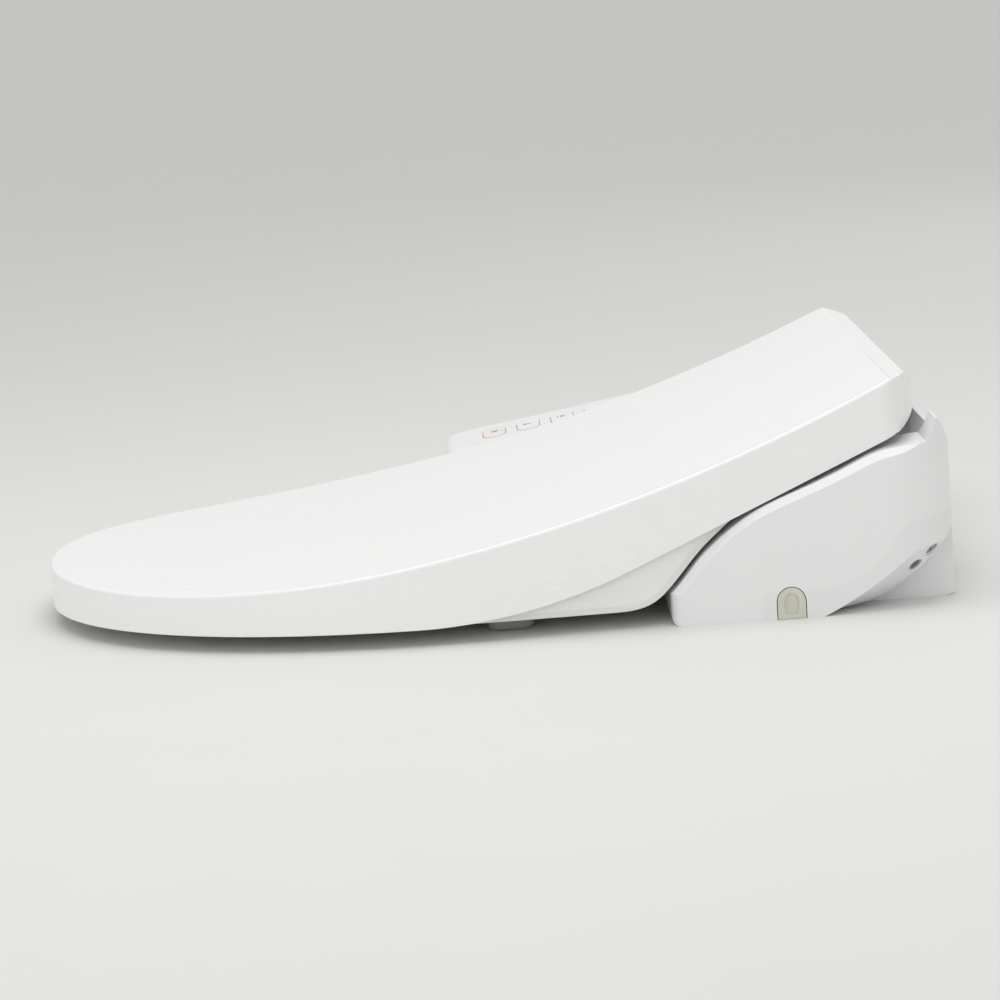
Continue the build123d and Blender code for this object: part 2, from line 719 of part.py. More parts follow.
def round_bar(x_from, x_to, radius):
    """Bar on the hinge line between two places across the seat."""
    with BuildPart() as bar:
        with BuildSketch(Plane.YZ.offset(x_from)) as bar_face:
            with Locations((HINGE_Y, HINGE_Z)):
                Circle(radius)
        extrude(amount=x_to - x_from)
    return bar.part


# Each damper: the can's two ends and the far end of its shaft.
DAMPERS = (
    ("lid", LUG_X - 12.9, LUG_X + LUG_T / 2 - 0.6, LID_EAR_X + LID_EAR_T / 2),
    ("seat", -(LUG_X + 12.9), -(LUG_X - LUG_T / 2 + 0.6), -(SEAT_EAR_X - SEAT_EAR_T / 2)),
)
damper_cans = []
shaft_rooms = []
for damper_name, can_from, can_to, shaft_to in DAMPERS:
    damper_cans.append(round_bar(can_from, can_to, DAMPER_R))
    shaft_rooms.append(round_bar(can_to - 5.5, shaft_to + 1, PIN_R + RUNNING))
    shaft_bar = round_bar(can_to - 5, shaft_to, PIN_R)
    with BuildPart() as damper_shaft:
        add(shaft_bar)
    damper_shaft.part.label = f"{damper_name}_damper_shaft"
    export_step(damper_shaft.part, f"parts/{damper_name}_damper_shaft.step")

with BuildPart() as soft_close_dampers:
    for damper_can in damper_cans:
        add(damper_can)
    for shaft_room in shaft_rooms:
        add(shaft_room, mode=Mode.SUBTRACT)
soft_close_dampers.part.label = "soft_close_dampers"
export_step(soft_close_dampers.part, "parts/soft_close_dampers.step")

# Plain pins: the seat's on the left, the lid's on the right.
seat_pin = round_bar(SEAT_EAR_X - SEAT_EAR_T / 2 + 1, LUG_X - 13.1, PIN_R)
lid_pin = round_bar(-(LID_EAR_X + LID_EAR_T / 2), -(LUG_X + 13.1), PIN_R)
with BuildPart() as hinge_pins:
    add(seat_pin)
    add(lid_pin)
hinge_pins.part.label = "hinge_pins"
export_step(hinge_pins.part, "parts/hinge_pins.step")


# ---------------------------------------------------------------- release button and mounting plate

button_shape = arch(BUTTON_W, BUTTON_TOP)
with BuildPart() as release_button:
    extrude(button_shape, amount=BODY_HALF)
    with BuildSketch(Plane.YZ) as button_back:
        with Locations((at(BUTTON_AT), 0)):
            Rectangle(40, 80)
    extrude(amount=BODY_HALF - 6, mode=Mode.SUBTRACT)
    with BuildSketch(Plane.YZ) as under_floor:
        with Locations((at(BUTTON_AT), -5)):
            Rectangle(40, 10.4)
    extrude(amount=BODY_HALF + 5, mode=Mode.SUBTRACT)
    # finger hollow with a domed top, and its stem with a collar for the spring
    with BuildSketch(Plane.YZ.offset(BODY_HALF)) as hollow_face:
        with Locations((at(BUTTON_AT), 8.4)):
            SlotOverall(12.5, 8, rotation=90)
    extrude(amount=-1.2, mode=Mode.SUBTRACT)
    with BuildSketch(Plane.YZ.offset(BODY_HALF - 6)) as stem:
        with Locations((at(BUTTON_AT), 10)):
            Circle(3)
    extrude(amount=-30)
release_button.part.label = "release_button"
export_step(release_button.part, "parts/release_button.step")

with BuildPart() as release_spring:
    with BuildLine() as spring_line:
        Helix(pitch=2.6, height=18.2, radius=4.1, center=(BODY_HALF - 28.2, at(BUTTON_AT), 10), direction=(1, 0, 0))
    with BuildSketch(Plane(origin=spring_line.line @ 0, z_dir=spring_line.line % 0)) as spring_wire:
        Circle(0.4)
    sweep()
release_spring.part.label = "release_spring"
export_step(release_spring.part, "parts/release_spring.step")

BOLT_X = 70.0
BOLT_R = 4.5
BOLT_SLOT = 20.0
with BuildPart() as mounting_plate:
    with BuildSketch(Plane.XY) as plate_face:
        with Locations((0, at((PLATE_FRONT + PLATE_REAR) / 2))):
            RectangleRounded(2 * PLATE_HALF, PLATE_REAR - PLATE_FRONT, 8)
        with Locations((0, at(PLATE_FRONT + 9))):
            SlotOverall(60, 8, mode=Mode.SUBTRACT)
    extrude(amount=PLATE_T)
    with BuildSketch(Plane.XY.offset(PLATE_T)) as head_room:
        with Locations((BOLT_X, 0), (-BOLT_X, 0)):
            SlotOverall(BOLT_SLOT + 12, 21)
    extrude(amount=-2.6, mode=Mode.SUBTRACT)
    with BuildSketch(Plane.XY) as bolt_slots:
        with Locations((BOLT_X, 0), (-BOLT_X, 0)):
            SlotOverall(BOLT_SLOT, 2 * BOLT_R)
    extrude(amount=PLATE_T, mode=Mode.SUBTRACT)
    chamfer(mounting_plate.faces().sort_by(Axis.Z)[-1].outer_wire().edges(), 1)
mounting_plate.part.label = "mounting_plate"
export_step(mounting_plate.part, "parts/mounting_plate.step")

with BuildPart() as base_pads:
    with BuildSketch(Plane.XY) as pad_faces:
        for pad_x in (-135, 135):
            with Locations((pad_x, at(385))):
                RectangleRounded(30, 22, 5)
    extrude(amount=FLOOR_Z)
base_pads.part.label = "base_pads"
export_step(base_pads.part, "parts/base_pads.step")

# Gland of the mains cord and plug of the drain, in the two ports of the sloping band.
with BuildPart() as cord_gland:
    with BuildSketch(CORD_PORT.offset(-8)) as gland_tube:
        Circle(PORT_R)
        Circle(3.4, mode=Mode.SUBTRACT)
    extrude(amount=8.5)
cord_gland.part.label = "cord_gland"
export_step(cord_gland.part, "parts/cord_gland.step")

with BuildPart() as drain_plug:
    with BuildSketch(DRAIN_PORT.offset(-9)) as plug_disc:
        Circle(PORT_R)
    extrude(amount=7.2)
    with BuildSketch(DRAIN_PORT.offset(-1.8)) as plug_slot:
        Rectangle(5.6, 1.2)
    extrude(amount=-1.2, mode=Mode.SUBTRACT)
drain_plug.part.label = "drain_plug"
export_step(drain_plug.part, "parts/drain_plug.step")


# ---------------------------------------------------------------- control arm

KEY_PLANE = Plane(origin=(KEY_X, at(ARM_TOP_FROM), ARM_Z), x_dir=(1, 0, 0),
                  z_dir=(0, -math.sin(math.radians(ARM_SLOPE)), math.cos(math.radians(ARM_SLOPE))))
ARM_JOIN = BODY_HALF + 2.0
ARM_TALL = 11.0
ARM_TAN = math.tan(math.radians(ARM_SLOPE))


def arm_top(distance, drop=0.0):
    return ARM_Z + ARM_TAN * (distance - ARM_TOP_FROM) - drop


def arm_plan(inset):
    with BuildSketch() as plan:
        with BuildLine():
            Polyline((-ARM_JOIN, at(494)), (-ARM_JOIN, at(376)), (-ARM_IN, at(360)), (-ARM_IN, at(ARM_FRONT)),
                     (-ARM_OUT, at(ARM_FRONT)), (-ARM_OUT, at(425)))
            ThreePointArc((-ARM_OUT, at(425)), (-250, at(468)), (-ARM_JOIN, at(494)))
        make_face()
        front_corners = plan.vertices().group_by(Axis.Y)[0]
        fillet(front_corners, 17)
        if inset:
            offset(amount=-inset, mode=Mode.REPLACE)
    return plan.sketch


def arm_side(drop, lift, ends):
    """The arm from the side; drop lowers the top, lift raises the bottom, ends draws in the front."""
    with BuildSketch(Plane.YZ) as side:
        with BuildLine():
            front = at(ARM_FRONT + ends)
            Line((front, 24 + lift), (front, arm_top(ARM_FRONT, drop)))
            Line((front, arm_top(ARM_FRONT, drop)), (at(434), arm_top(434, drop)))
            ThreePointArc((at(434), arm_top(434, drop)), (at(470), 80.6 - drop), (at(505), 81 - drop))
            Line((at(505), 81 - drop), (at(505), 6 + lift))
            Line((at(505), 6 + lift), (at(390), 6 + lift))
            ThreePointArc((at(390), 6 + lift), (at(310), 13.5 + lift), (front, 24 + lift))
        make_face()
        front_ends = side.vertices().group_by(Axis.X)[0]
        fillet(front_ends, 7 - ends)
    return side.sketch


arm_outline = arm_plan(0)
arm_outline_inner = arm_plan(ARM_WALL)
arm_profile = arm_side(0, 0, 0)
arm_profile_inner = arm_side(ARM_WALL, ARM_WALL, ARM_WALL)
with BuildPart() as arm_block:
    extrude(arm_outline, amount=120)
    extrude(arm_profile, amount=300, both=True, mode=Mode.INTERSECT)
    arm_top_face = arm_block.faces().filter_by(lambda f: f.normal_at().Z > 0.97).sort_by(SortBy.AREA)[-1]
    fillet(arm_top_face.outer_wire().edges(), 2.5)
with BuildPart() as arm_hollow:
    extrude(arm_outline_inner, amount=120)
    extrude(arm_profile_inner, amount=300, both=True, mode=Mode.INTERSECT)
with BuildPart() as arm_upper_half:
    with BuildSketch(Plane.YZ) as upper_face:
        with BuildLine():
            Polyline((at(200), arm_top(200, ARM_TALL)), (at(434), arm_top(434, ARM_TALL)),
                     (at(520), 81 - ARM_TALL), (at(520), 150), (at(200), 150), close=True)
        make_face()
    extrude(amount=300, both=True)

KEYS = [("stop", 0, 22, 36, 15), ("rear_wash", 0, 45, 36, 15), ("front_wash", 0, 68, 36, 15), ("dry", 0, 91, 36, 15),
        ("weaker", -12, 114, 13, 13), ("stronger", 12, 114, 13, 13), ("warmth", -12, 133, 13, 13),
        ("power", 12, 133, 13, 13)]
WINDOW_AT = 152.0
WINDOW_W = 40.0
WINDOW_T = 7.0


def key_face(width, length, grow):
    if width > length:
        SlotOverall(width + 2 * grow, length + 2 * grow)
    else:
        Circle(length / 2 + grow)


with BuildPart() as arm_cover:
    add(arm_block.part)
    add(arm_hollow.part, mode=Mode.SUBTRACT)
    add(arm_upper_half.part, mode=Mode.INTERSECT)
    with BuildSketch(KEY_PLANE.offset(-6)) as key_openings:
        for key_name, key_x, key_y, key_w, key_l in KEYS:
            with Locations((key_x, key_y)):
                key_face(key_w, key_l, KEY_GAP)
        with Locations((0, WINDOW_AT)):
            RectangleRounded(WINDOW_W, WINDOW_T, 2)
    extrude(amount=12, mode=Mode.SUBTRACT)
arm_cover.part.label = "arm_cover"
export_step(arm_cover.part, "parts/arm_cover.step")

with BuildPart() as arm_housing:
    add(arm_block.part)
    add(arm_hollow.part, mode=Mode.SUBTRACT)
    add(arm_upper_half.part, mode=Mode.SUBTRACT)
    # foot of the arm, against the side of the body
    with BuildSketch(Plane.YZ.offset(-ARM_JOIN - 1)) as foot_face:
        with Locations((at(430), 30)):
            RectangleRounded(64, 40, 5)
    extrude(amount=ARM_JOIN + 1 - BODY_HALF)
arm_housing.part.label = "arm_housing"
export_step(arm_housing.part, "parts/arm_housing.step")

for key_name, key_x, key_y, key_w, key_l in KEYS:
    with BuildPart() as key:
        with BuildSketch(KEY_PLANE.offset(-ARM_WALL - 0.4)) as key_skirt:
            with Locations((key_x, key_y)):
                key_face(key_w, key_l, 1.2)
        extrude(amount=-1.2)
        with BuildSketch(KEY_PLANE.offset(-ARM_WALL - 0.4)) as key_top:
            with Locations((key_x, key_y)):
                key_face(key_w, key_l, 0)
        extrude(amount=ARM_WALL + 0.4 + KEY_PROUD)
        crown = key.edges().filter_by(lambda e: (e.center() - KEY_PLANE.origin).dot(KEY_PLANE.z_dir) > KEY_PROUD - 0.05)
        fillet(crown, 0.6)
    key.part.label = f"key_{key_name}"
    export_step(key.part, f"parts/key_{key_name}.step")

with BuildPart() as indicator_window:
    with BuildSketch(KEY_PLANE.offset(-ARM_WALL)) as window_face:
        with Locations((0, WINDOW_AT)):
            RectangleRounded(WINDOW_W, WINDOW_T, 2)
    extrude(amount=ARM_WALL + 0.15)
indicator_window.part.label = "indicator_window"
export_step(indicator_window.part, "parts/indicator_window.step")

with BuildPart() as control_board:
    with BuildSketch(KEY_PLANE.offset(-8)) as board_face:
        with Locations((0, 82)):
            RectangleRounded(58, 156, 3)
    extrude(amount=1.6)
    with BuildSketch(KEY_PLANE.offset(-6.4)) as switch_domes:
        for key_name, key_x, key_y, key_w, key_l in KEYS:
            with Locations((key_x, key_y)):
                Circle(2.5)
    extrude(amount=0.9)
    with BuildSketch(KEY_PLANE.offset(-6.4)) as indicator_lamps:
        with GridLocations(9, 1, 4, 1):
            with Locations((0, WINDOW_AT)):
                Rectangle(3, 2)
    extrude(amount=2)
control_board.part.label = "control_board"
export_step(control_board.part, "parts/control_board.step")


# ---------------------------------------------------------------- nozzles

TILT = math.radians(NOZZLE_TILT)
NOZZLE_MOUTH = Vector(0, at(BODY_FRONT + 1.5), 9.5)
BACK = Vector(0, math.cos(TILT), math.sin(TILT))       # along the nozzle, away from its tip
OVER = Vector(0, -math.sin(TILT), math.cos(TILT))      # square to the nozzle, upwards
PITCH = math.pi * GEAR_MODULE
PINION_R = GEAR_MODULE * PINION_TEETH / 2
PINION_DROP = RACK_PITCH_DROP + PINION_R


def nozzle_plane(across, along, over):
    """Plane facing back along a nozzle, at a place given from its tip."""
    return Plane(origin=NOZZLE_MOUTH + BACK * along + OVER * over + Vector(across, 0, 0), x_dir=(-1, 0, 0), z_dir=BACK)


def side_plane(across):
    """Plane seen from the left, X along the nozzle and Y square to it, origin at the tip."""
    return Plane(origin=NOZZLE_MOUTH + Vector(across, 0, 0), x_dir=BACK, z_dir=(1, 0, 0))


motor_cans = []
for nozzle_name, across in (("rear", -NOZZLE_X), ("front", NOZZLE_X)):
    with BuildPart() as nozzle:
        with BuildSketch(nozzle_plane(across, NOZZLE_TIP, 0)) as barrel:
            Circle(NOZZLE_R)
            Circle(2.2, mode=Mode.SUBTRACT)
        extrude(amount=NOZZLE_LENGTH - NOZZLE_TIP)
        with BuildSketch(side_plane(across - 2)) as rack:
            with BuildLine():
                Polyline((RACK_FROM, -4), (RACK_FROM, -6.4), (NOZZLE_LENGTH, -6.4), (NOZZLE_LENGTH, -4), close=True)
            make_face()
            for tooth in range(RACK_TEETH):
                middle = CONTACT + (tooth + 0.5) * PITCH
                with BuildLine():
                    Polyline((middle - 0.85, -6.3), (middle - 0.35, -8.4), (middle + 0.35, -8.4), (middle + 0.85, -6.3),
                             close=True)
                make_face()
        extrude(amount=4)
    nozzle.part.label = f"{nozzle_name}_nozzle"
    export_step(nozzle.part, f"parts/{nozzle_name}_nozzle.step")

    with BuildPart() as nozzle_tip:
        with BuildSketch(nozzle_plane(across, 0, 0)) as tip_face:
            Circle(NOZZLE_R)
        extrude(amount=NOZZLE_TIP)
        fillet(nozzle_tip.edges().sort_by(lambda e: e.center().dot(BACK))[0], 2.5)
        with BuildSketch(Plane(origin=NOZZLE_MOUTH + BACK * 10 + OVER * (NOZZLE_R + 1) + Vector(across, 0, 0),
                               x_dir=(1, 0, 0), z_dir=-OVER)) as jets:
            with GridLocations(2.4, 2.8, 2, 3 if nozzle_name == "front" else 2):
                Circle(0.5)
        extrude(amount=5, mode=Mode.SUBTRACT)
    nozzle_tip.part.label = f"{nozzle_name}_nozzle_tip"
    export_step(nozzle_tip.part, f"parts/{nozzle_name}_nozzle_tip.step")

    sign = 1 if across > 0 else -1
    axle_at = NOZZLE_MOUTH + BACK * CONTACT - OVER * PINION_DROP
    motor_face = NOZZLE_X + 6.4
    with BuildPart() as pinion:
        with BuildSketch(Plane(origin=axle_at + Vector(across - 2.5, 0, 0), x_dir=OVER, z_dir=(1, 0, 0))) as gear:
            Circle(PINION_R - 1.1)
            with PolarLocations(0, PINION_TEETH):
                with BuildLine():
                    Polyline((PINION_R - 1.4, -0.85), (PINION_R + 0.9, -0.35), (PINION_R + 0.9, 0.35),
                             (PINION_R - 1.4, 0.85), close=True)
                make_face()
        extrude(amount=5)
        with BuildSketch(Plane(origin=axle_at, x_dir=(0, 1, 0), z_dir=(sign, 0, 0)).offset(NOZZLE_X)) as axle:
            Circle(1.5)
        extrude(amount=motor_face - NOZZLE_X + 3)
    pinion.part.label = f"{nozzle_name}_pinion"
    export_step(pinion.part, f"parts/{nozzle_name}_pinion.step")

    with BuildPart() as stepper:
        with BuildSketch(Plane(origin=axle_at, x_dir=(0, 1, 0), z_dir=(sign, 0, 0)).offset(motor_face)) as can:
            Circle(10)
            Rectangle(30, 7)
            with GridLocations(26, 1, 2, 1):
                Circle(1.6, mode=Mode.SUBTRACT)
        extrude(amount=1)
        with BuildSketch(Plane(origin=axle_at, x_dir=(0, 1, 0), z_dir=(sign, 0, 0)).offset(motor_face)) as can_body:
            Circle(10)
        extrude(amount=18)
        with BuildSketch(Plane(origin=axle_at, x_dir=(0, 1, 0), z_dir=(sign, 0, 0)).offset(motor_face - 1)) as can_bore:
            Circle(1.55)
        extrude(amount=5, mode=Mode.SUBTRACT)
    motor_cans.append(stepper.part)

with BuildPart() as nozzle_motors:
    for motor_can in motor_cans:
        add(motor_can)
nozzle_motors.part.label = "nozzle_motors"
export_step(nozzle_motors.part, "parts/nozzle_motors.step")

# Cradle: a bridge over both nozzles with two channels, on a middle web.
with BuildPart() as nozzle_cradle:
    with BuildSketch(nozzle_plane(0, 14, 0)) as cradle_face:
        with Locations((0, 2.5)):
            Rectangle(41, 11)
        with Locations((-NOZZLE_X, 0), (NOZZLE_X, 0)):
            Circle(NOZZLE_R + 0.35, mode=Mode.SUBTRACT)
        with Locations((-NOZZLE_X, -5), (NOZZLE_X, -5)):
            Rectangle(2 * NOZZLE_R + 0.7, 10, mode=Mode.SUBTRACT)
    extrude(amount=NOZZLE_LENGTH - 17)
    with BuildSketch(Plane.YZ.offset(-2.5)) as web:
        with BuildLine():
            Polyline((at(368), FLOOR_TOP), (at(368), 14), (at(458), 62), (at(458), 56), (at(402), 26),
                     (at(402), FLOOR_TOP), close=True)
        make_face()
    extrude(amount=5)
nozzle_cradle.part.label = "nozzle_cradle"
export_step(nozzle_cradle.part, "parts/nozzle_cradle.step")


# ---------------------------------------------------------------- water side (right)

TANK_X = -80.0
TANK_W = 74.0
TANK_FROM = 402.0
TANK_TO = 478.0
TANK_Z = 12.0
TANK_H = 36.0
TANK_AT = (TANK_FROM + TANK_TO) / 2
with BuildPart() as water_tank:
    with BuildSketch(Plane.XY.offset(TANK_Z)) as tank_outline:
        with Locations((TANK_X, at(TANK_AT))):
            RectangleRounded(TANK_W, TANK_TO - TANK_FROM, 8)
    extrude(amount=TANK_H)
    fillet(water_tank.faces().sort_by(Axis.Z)[0].edges(), 3)
    with BuildSketch(Plane.XY.offset(TANK_Z + 2.5)) as tank_room:
        with Locations((TANK_X, at(TANK_AT))):
            RectangleRounded(TANK_W - 5, TANK_TO - TANK_FROM - 5, 5.5)
    extrude(amount=TANK_H, mode=Mode.SUBTRACT)
water_tank.part.label = "water_tank"
export_step(water_tank.part, "parts/water_tank.step")

with BuildPart() as tank_lid:
    with BuildSketch(Plane.XY.offset(TANK_Z + TANK_H)) as tank_lid_outline:
        with Locations((TANK_X, at(TANK_AT))):
            RectangleRounded(TANK_W, TANK_TO - TANK_FROM, 8)
            with Locations((-20, 0)):
                Circle(1.5, mode=Mode.SUBTRACT)
            with Locations((20, 0)):
                Circle(1.5, mode=Mode.SUBTRACT)
    extrude(amount=3)
tank_lid.part.label = "tank_lid"
export_step(tank_lid.part, "parts/tank_lid.step")

# Sheathed heater: a U of tube standing on its two ends in the tank's lid.
with BuildPart() as tank_heater:
    with BuildLine() as heater_line:
        FilletPolyline((TANK_X - 20, at(TANK_AT), TANK_Z + TANK_H + 6), (TANK_X - 20, at(TANK_AT), TANK_Z + 12),
                       (TANK_X + 20, at(TANK_AT), TANK_Z + 12), (TANK_X + 20, at(TANK_AT), TANK_Z + TANK_H + 6),
                       radius=8)
    with BuildSketch(Plane(origin=heater_line.line @ 0, z_dir=heater_line.line % 0)) as sheath:
        Circle(1.5)
    sweep()
tank_heater.part.label = "tank_heater"
export_step(tank_heater.part, "parts/tank_heater.step")

with BuildPart() as thermal_cutout:
    with BuildSketch(Plane.XY.offset(TANK_Z + TANK_H + 3)) as cutout_disc:
        with Locations((TANK_X, at(TANK_AT + 22))):
            Circle(8)
    extrude(amount=4)
thermal_cutout.part.label = "thermal_cutout"
export_step(thermal_cutout.part, "parts/thermal_cutout.step")

INLET_R = 10.4
INLET_LENGTH = 12.0
INLET_SEAT = 500.0
with BuildPart() as inlet_connector:
    with BuildSketch(Plane.XZ.offset(-at(INLET_SEAT - 14))) as inlet_root:
        with Locations((INLET[0], INLET[1])):
            Circle(9)
            Circle(7.2, mode=Mode.SUBTRACT)
    extrude(amount=-14)
    with BuildSketch(Plane.XZ.offset(-at(INLET_SEAT))) as inlet_flange:
        with Locations((INLET[0], INLET[1])):
            RegularPolygon(14, 6)
            Circle(7.2, mode=Mode.SUBTRACT)
    extrude(amount=-4)
    with BuildSketch(Plane.XZ.offset(-at(INLET_SEAT + 4))) as inlet_thread:
        with Locations((INLET[0], INLET[1])):
            Circle(INLET_R)
            Circle(7.2, mode=Mode.SUBTRACT)
    extrude(amount=-INLET_LENGTH)
inlet_connector.part.label = "inlet_connector"
export_step(inlet_connector.part, "parts/inlet_connector.step")

with BuildPart() as inlet_strainer:
    with BuildSketch(Plane.XZ.offset(-at(INLET_SEAT - 8))) as strainer_cup:
        with Locations((INLET[0], INLET[1])):
            Circle(7.1)
    extrude(amount=-20)
    with BuildSketch(Plane.XZ.offset(-at(INLET_SEAT - 6.5))) as strainer_room:
        with Locations((INLET[0], INLET[1])):
            Circle(6)
    extrude(amount=-30, mode=Mode.SUBTRACT)
inlet_strainer.part.label = "inlet_strainer"
export_step(inlet_strainer.part, "parts/inlet_strainer.step")

# Inlet valve: a block with a coil on top, between the connector and the tank.
VALVE_X = INLET[0]
with BuildPart() as inlet_valve:
    with BuildSketch(Plane.XY.offset(20)) as valve_block:
        with Locations((VALVE_X, at(INLET_SEAT - 27))):
            RectangleRounded(22, 26, 3)
    extrude(amount=20)
    with BuildSketch(Plane.XY.offset(40)) as valve_coil:
        with Locations((VALVE_X, at(INLET_SEAT - 27))):
            Circle(9)
    extrude(amount=16)
    with BuildSketch(Plane.YZ.offset(VALVE_X + 11)) as valve_spout:
        with Locations((at(INLET_SEAT - 27), 30)):
            Circle(4)
    extrude(amount=TANK_X - TANK_W / 2 - VALVE_X - 11)
inlet_valve.part.label = "inlet_valve"
export_step(inlet_valve.part, "parts/inlet_valve.step")

# Flow selector: a disc valve under the nozzles, with its rotor.
with BuildPart() as flow_selector:
    with BuildSketch(Plane.XY.offset(12)) as selector_cup:
        with Locations((0, at(433))):
            Circle(8.5)
            Circle(6.5, mode=Mode.SUBTRACT)
    extrude(amount=14)
    with BuildSketch(Plane.XY.offset(12)) as selector_floor:
        with Locations((0, at(433))):
            Circle(8.5)
    extrude(amount=2)
flow_selector.part.label = "flow_selector"
export_step(flow_selector.part, "parts/flow_selector.step")

with BuildPart() as selector_disc:
    with BuildSketch(Plane.XY.offset(14.3)) as disc_face:
        with Locations((0, at(433))):
            Circle(6.1)
            with Locations((3.4, 0)):
                Circle(1.2, mode=Mode.SUBTRACT)
    extrude(amount=4)
    with BuildSketch(Plane.XY.offset(18.3)) as disc_stem:
        with Locations((0, at(433))):
            Circle(2)
    extrude(amount=9)
selector_disc.part.label = "selector_disc"
export_step(selector_disc.part, "parts/selector_disc.step")

# Hose from the tank to the flow selector.
with BuildPart() as tank_hose:
    with BuildLine() as hose_line:
        FilletPolyline((TANK_X + TANK_W / 2, at(452), 20), (-26, at(452), 20), (-19, at(433), 20), (-8.5, at(433), 20),
                       radius=5)
    with BuildSketch(Plane(origin=hose_line.line @ 0, z_dir=hose_line.line % 0)) as hose_tube:
        Circle(3)
    sweep()
tank_hose.part.label = "tank_hose"
export_step(tank_hose.part, "parts/tank_hose.step")


# ---------------------------------------------------------------- warm air (left)

FAN = (72.0, 452.0)
FAN_Z = 14.0
FAN_R = 20.0
with BuildPart() as dryer_housing:
    with BuildSketch(Plane.XY.offset(FAN_Z - 2)) as scroll:
        with Locations((FAN[0], at(FAN[1]))):
            Circle(FAN_R + 5)
    extrude(amount=20)
    with BuildSketch(Plane.XY.offset(5)) as duct:
        with Locations((54, at(394.25))):
            Rectangle(34, 59.5)
    extrude(amount=15)
    with BuildSketch(Plane.XY.offset(FAN_Z - 2)) as throat:
        with Locations((56, at(433))):
            Rectangle(30, 28)
    extrude(amount=8)
    with BuildSketch(Plane.XY.offset(FAN_Z)) as scroll_room:
        with Locations((FAN[0], at(FAN[1]))):
            Circle(FAN_R + 3)
    extrude(amount=16, mode=Mode.SUBTRACT)
    with BuildSketch(Plane.XY.offset(7)) as duct_room:
        with Locations((54, at(392))):
            Rectangle(30, 70)
    extrude(amount=11, mode=Mode.SUBTRACT)
    with BuildSketch(Plane.XY.offset(FAN_Z)) as throat_room:
        with Locations((56, at(432))):
            Rectangle(24, 26)
    extrude(amount=4, mode=Mode.SUBTRACT)
    with BuildSketch(Plane.XY.offset(FAN_Z + 15)) as eye:
        with Locations((FAN[0], at(FAN[1]))):
            Circle(11)
    extrude(amount=5, mode=Mode.SUBTRACT)
dryer_housing.part.label = "dryer_housing"
export_step(dryer_housing.part, "parts/dryer_housing.step")


def blower_wheel(centre, base_z, radius, height, blades, shaft_up):
    """Squirrel-cage wheel on a hub, standing on its back plate."""
    with BuildPart() as wheel:
        with BuildSketch(Plane.XY.offset(base_z)) as back_plate:
            with Locations(centre):
                Circle(radius)
        extrude(amount=1.2)
        with BuildSketch(Plane.XY.offset(base_z)) as blade_ring:
            with Locations(centre):
                with PolarLocations(radius - 2.4, blades):
                    Rectangle(4, 0.9, rotation=35)
        extrude(amount=height)
        with BuildSketch(Plane.XY.offset(base_z)) as hub:
            with Locations(centre):
                Circle(3.5)
        extrude(amount=height * 0.7)
        with BuildSketch(Plane.XY.offset(base_z)) as shaft:
            with Locations(centre):
                Circle(1.25)
        extrude(amount=shaft_up)
    return wheel.part


wheel_shape = blower_wheel((FAN[0], at(FAN[1])), FAN_Z + 1, FAN_R, 12, 24, 24)
with BuildPart() as dryer_wheel:
    add(wheel_shape)
dryer_wheel.part.label = "dryer_wheel"
export_step(dryer_wheel.part, "parts/dryer_wheel.step")

with BuildPart() as dryer_motor:
    with BuildSketch(Plane.XY.offset(FAN_Z + 18)) as motor_ring:
        with Locations((FAN[0], at(FAN[1]))):
            Circle(12)
            Circle(1.3, mode=Mode.SUBTRACT)
    extrude(amount=20)
dryer_motor.part.label = "dryer_motor"
export_step(dryer_motor.part, "parts/dryer_motor.step")

with BuildPart() as dryer_heater:
    for height in (9.0, 12.5, 16.0):
        with BuildSketch(Plane.XY.offset(height - 0.5)) as mica:
            with Locations((54, at(400))):
                Rectangle(30, 24)
        extrude(amount=1)
    with BuildSketch(Plane.XY.offset(7)) as mica_post:
        with Locations((54, at(400))):
            Rectangle(1.2, 24)
    extrude(amount=11)
dryer_heater.part.label = "dryer_heater"
export_step(dryer_heater.part, "parts/dryer_heater.step")

# Flap over the air outlet, hinged along its top edge.
FLAP_AXIS = (at(BODY_FRONT + 1.8), 17.6)
with BuildPart() as dryer_flap:
    with BuildSketch(Plane.XZ.offset(-at(BODY_FRONT + 0.6))) as flap_face:
        with Locations((AIR_PORT[0], AIR_PORT[1] - 0.7)):
            RectangleRounded(AIR_PORT[2] - 1.2, AIR_PORT[3] - 2.4, 2.4)
    extrude(amount=-1.6)
    with BuildSketch(Plane.YZ.offset(AIR_PORT[0])) as flap_barrel:
        with Locations(FLAP_AXIS):
            Circle(1.1)
    extrude(amount=13.5, both=True)
dryer_flap.part.label = "dryer_flap"
export_step(dryer_flap.part, "parts/dryer_flap.step")

# Deodoriser: a small fan behind a carbon cartridge that draws out of the rear wall.
with BuildPart() as deodoriser_housing:
    with BuildSketch(Plane.XZ.offset(-at(462))) as deodoriser_box:
        with Locations((CARTRIDGE[0], CARTRIDGE[1])):
            RectangleRounded(44, 24.8, 3)
    extrude(amount=-53)
    with BuildSketch(Plane.XZ.offset(-at(464))) as deodoriser_room:
        with Locations((CARTRIDGE[0], CARTRIDGE[1])):
            RectangleRounded(40.8, 22.4, 2)
    extrude(amount=-60, mode=Mode.SUBTRACT)
    with BuildSketch(Plane.XZ.offset(-at(461))) as deodoriser_eye:
        with Locations((CARTRIDGE[0], CARTRIDGE[1])):
            Circle(10)
    extrude(amount=-4, mode=Mode.SUBTRACT)
deodoriser_housing.part.label = "deodoriser_housing"
export_step(deodoriser_housing.part, "parts/deodoriser_housing.step")

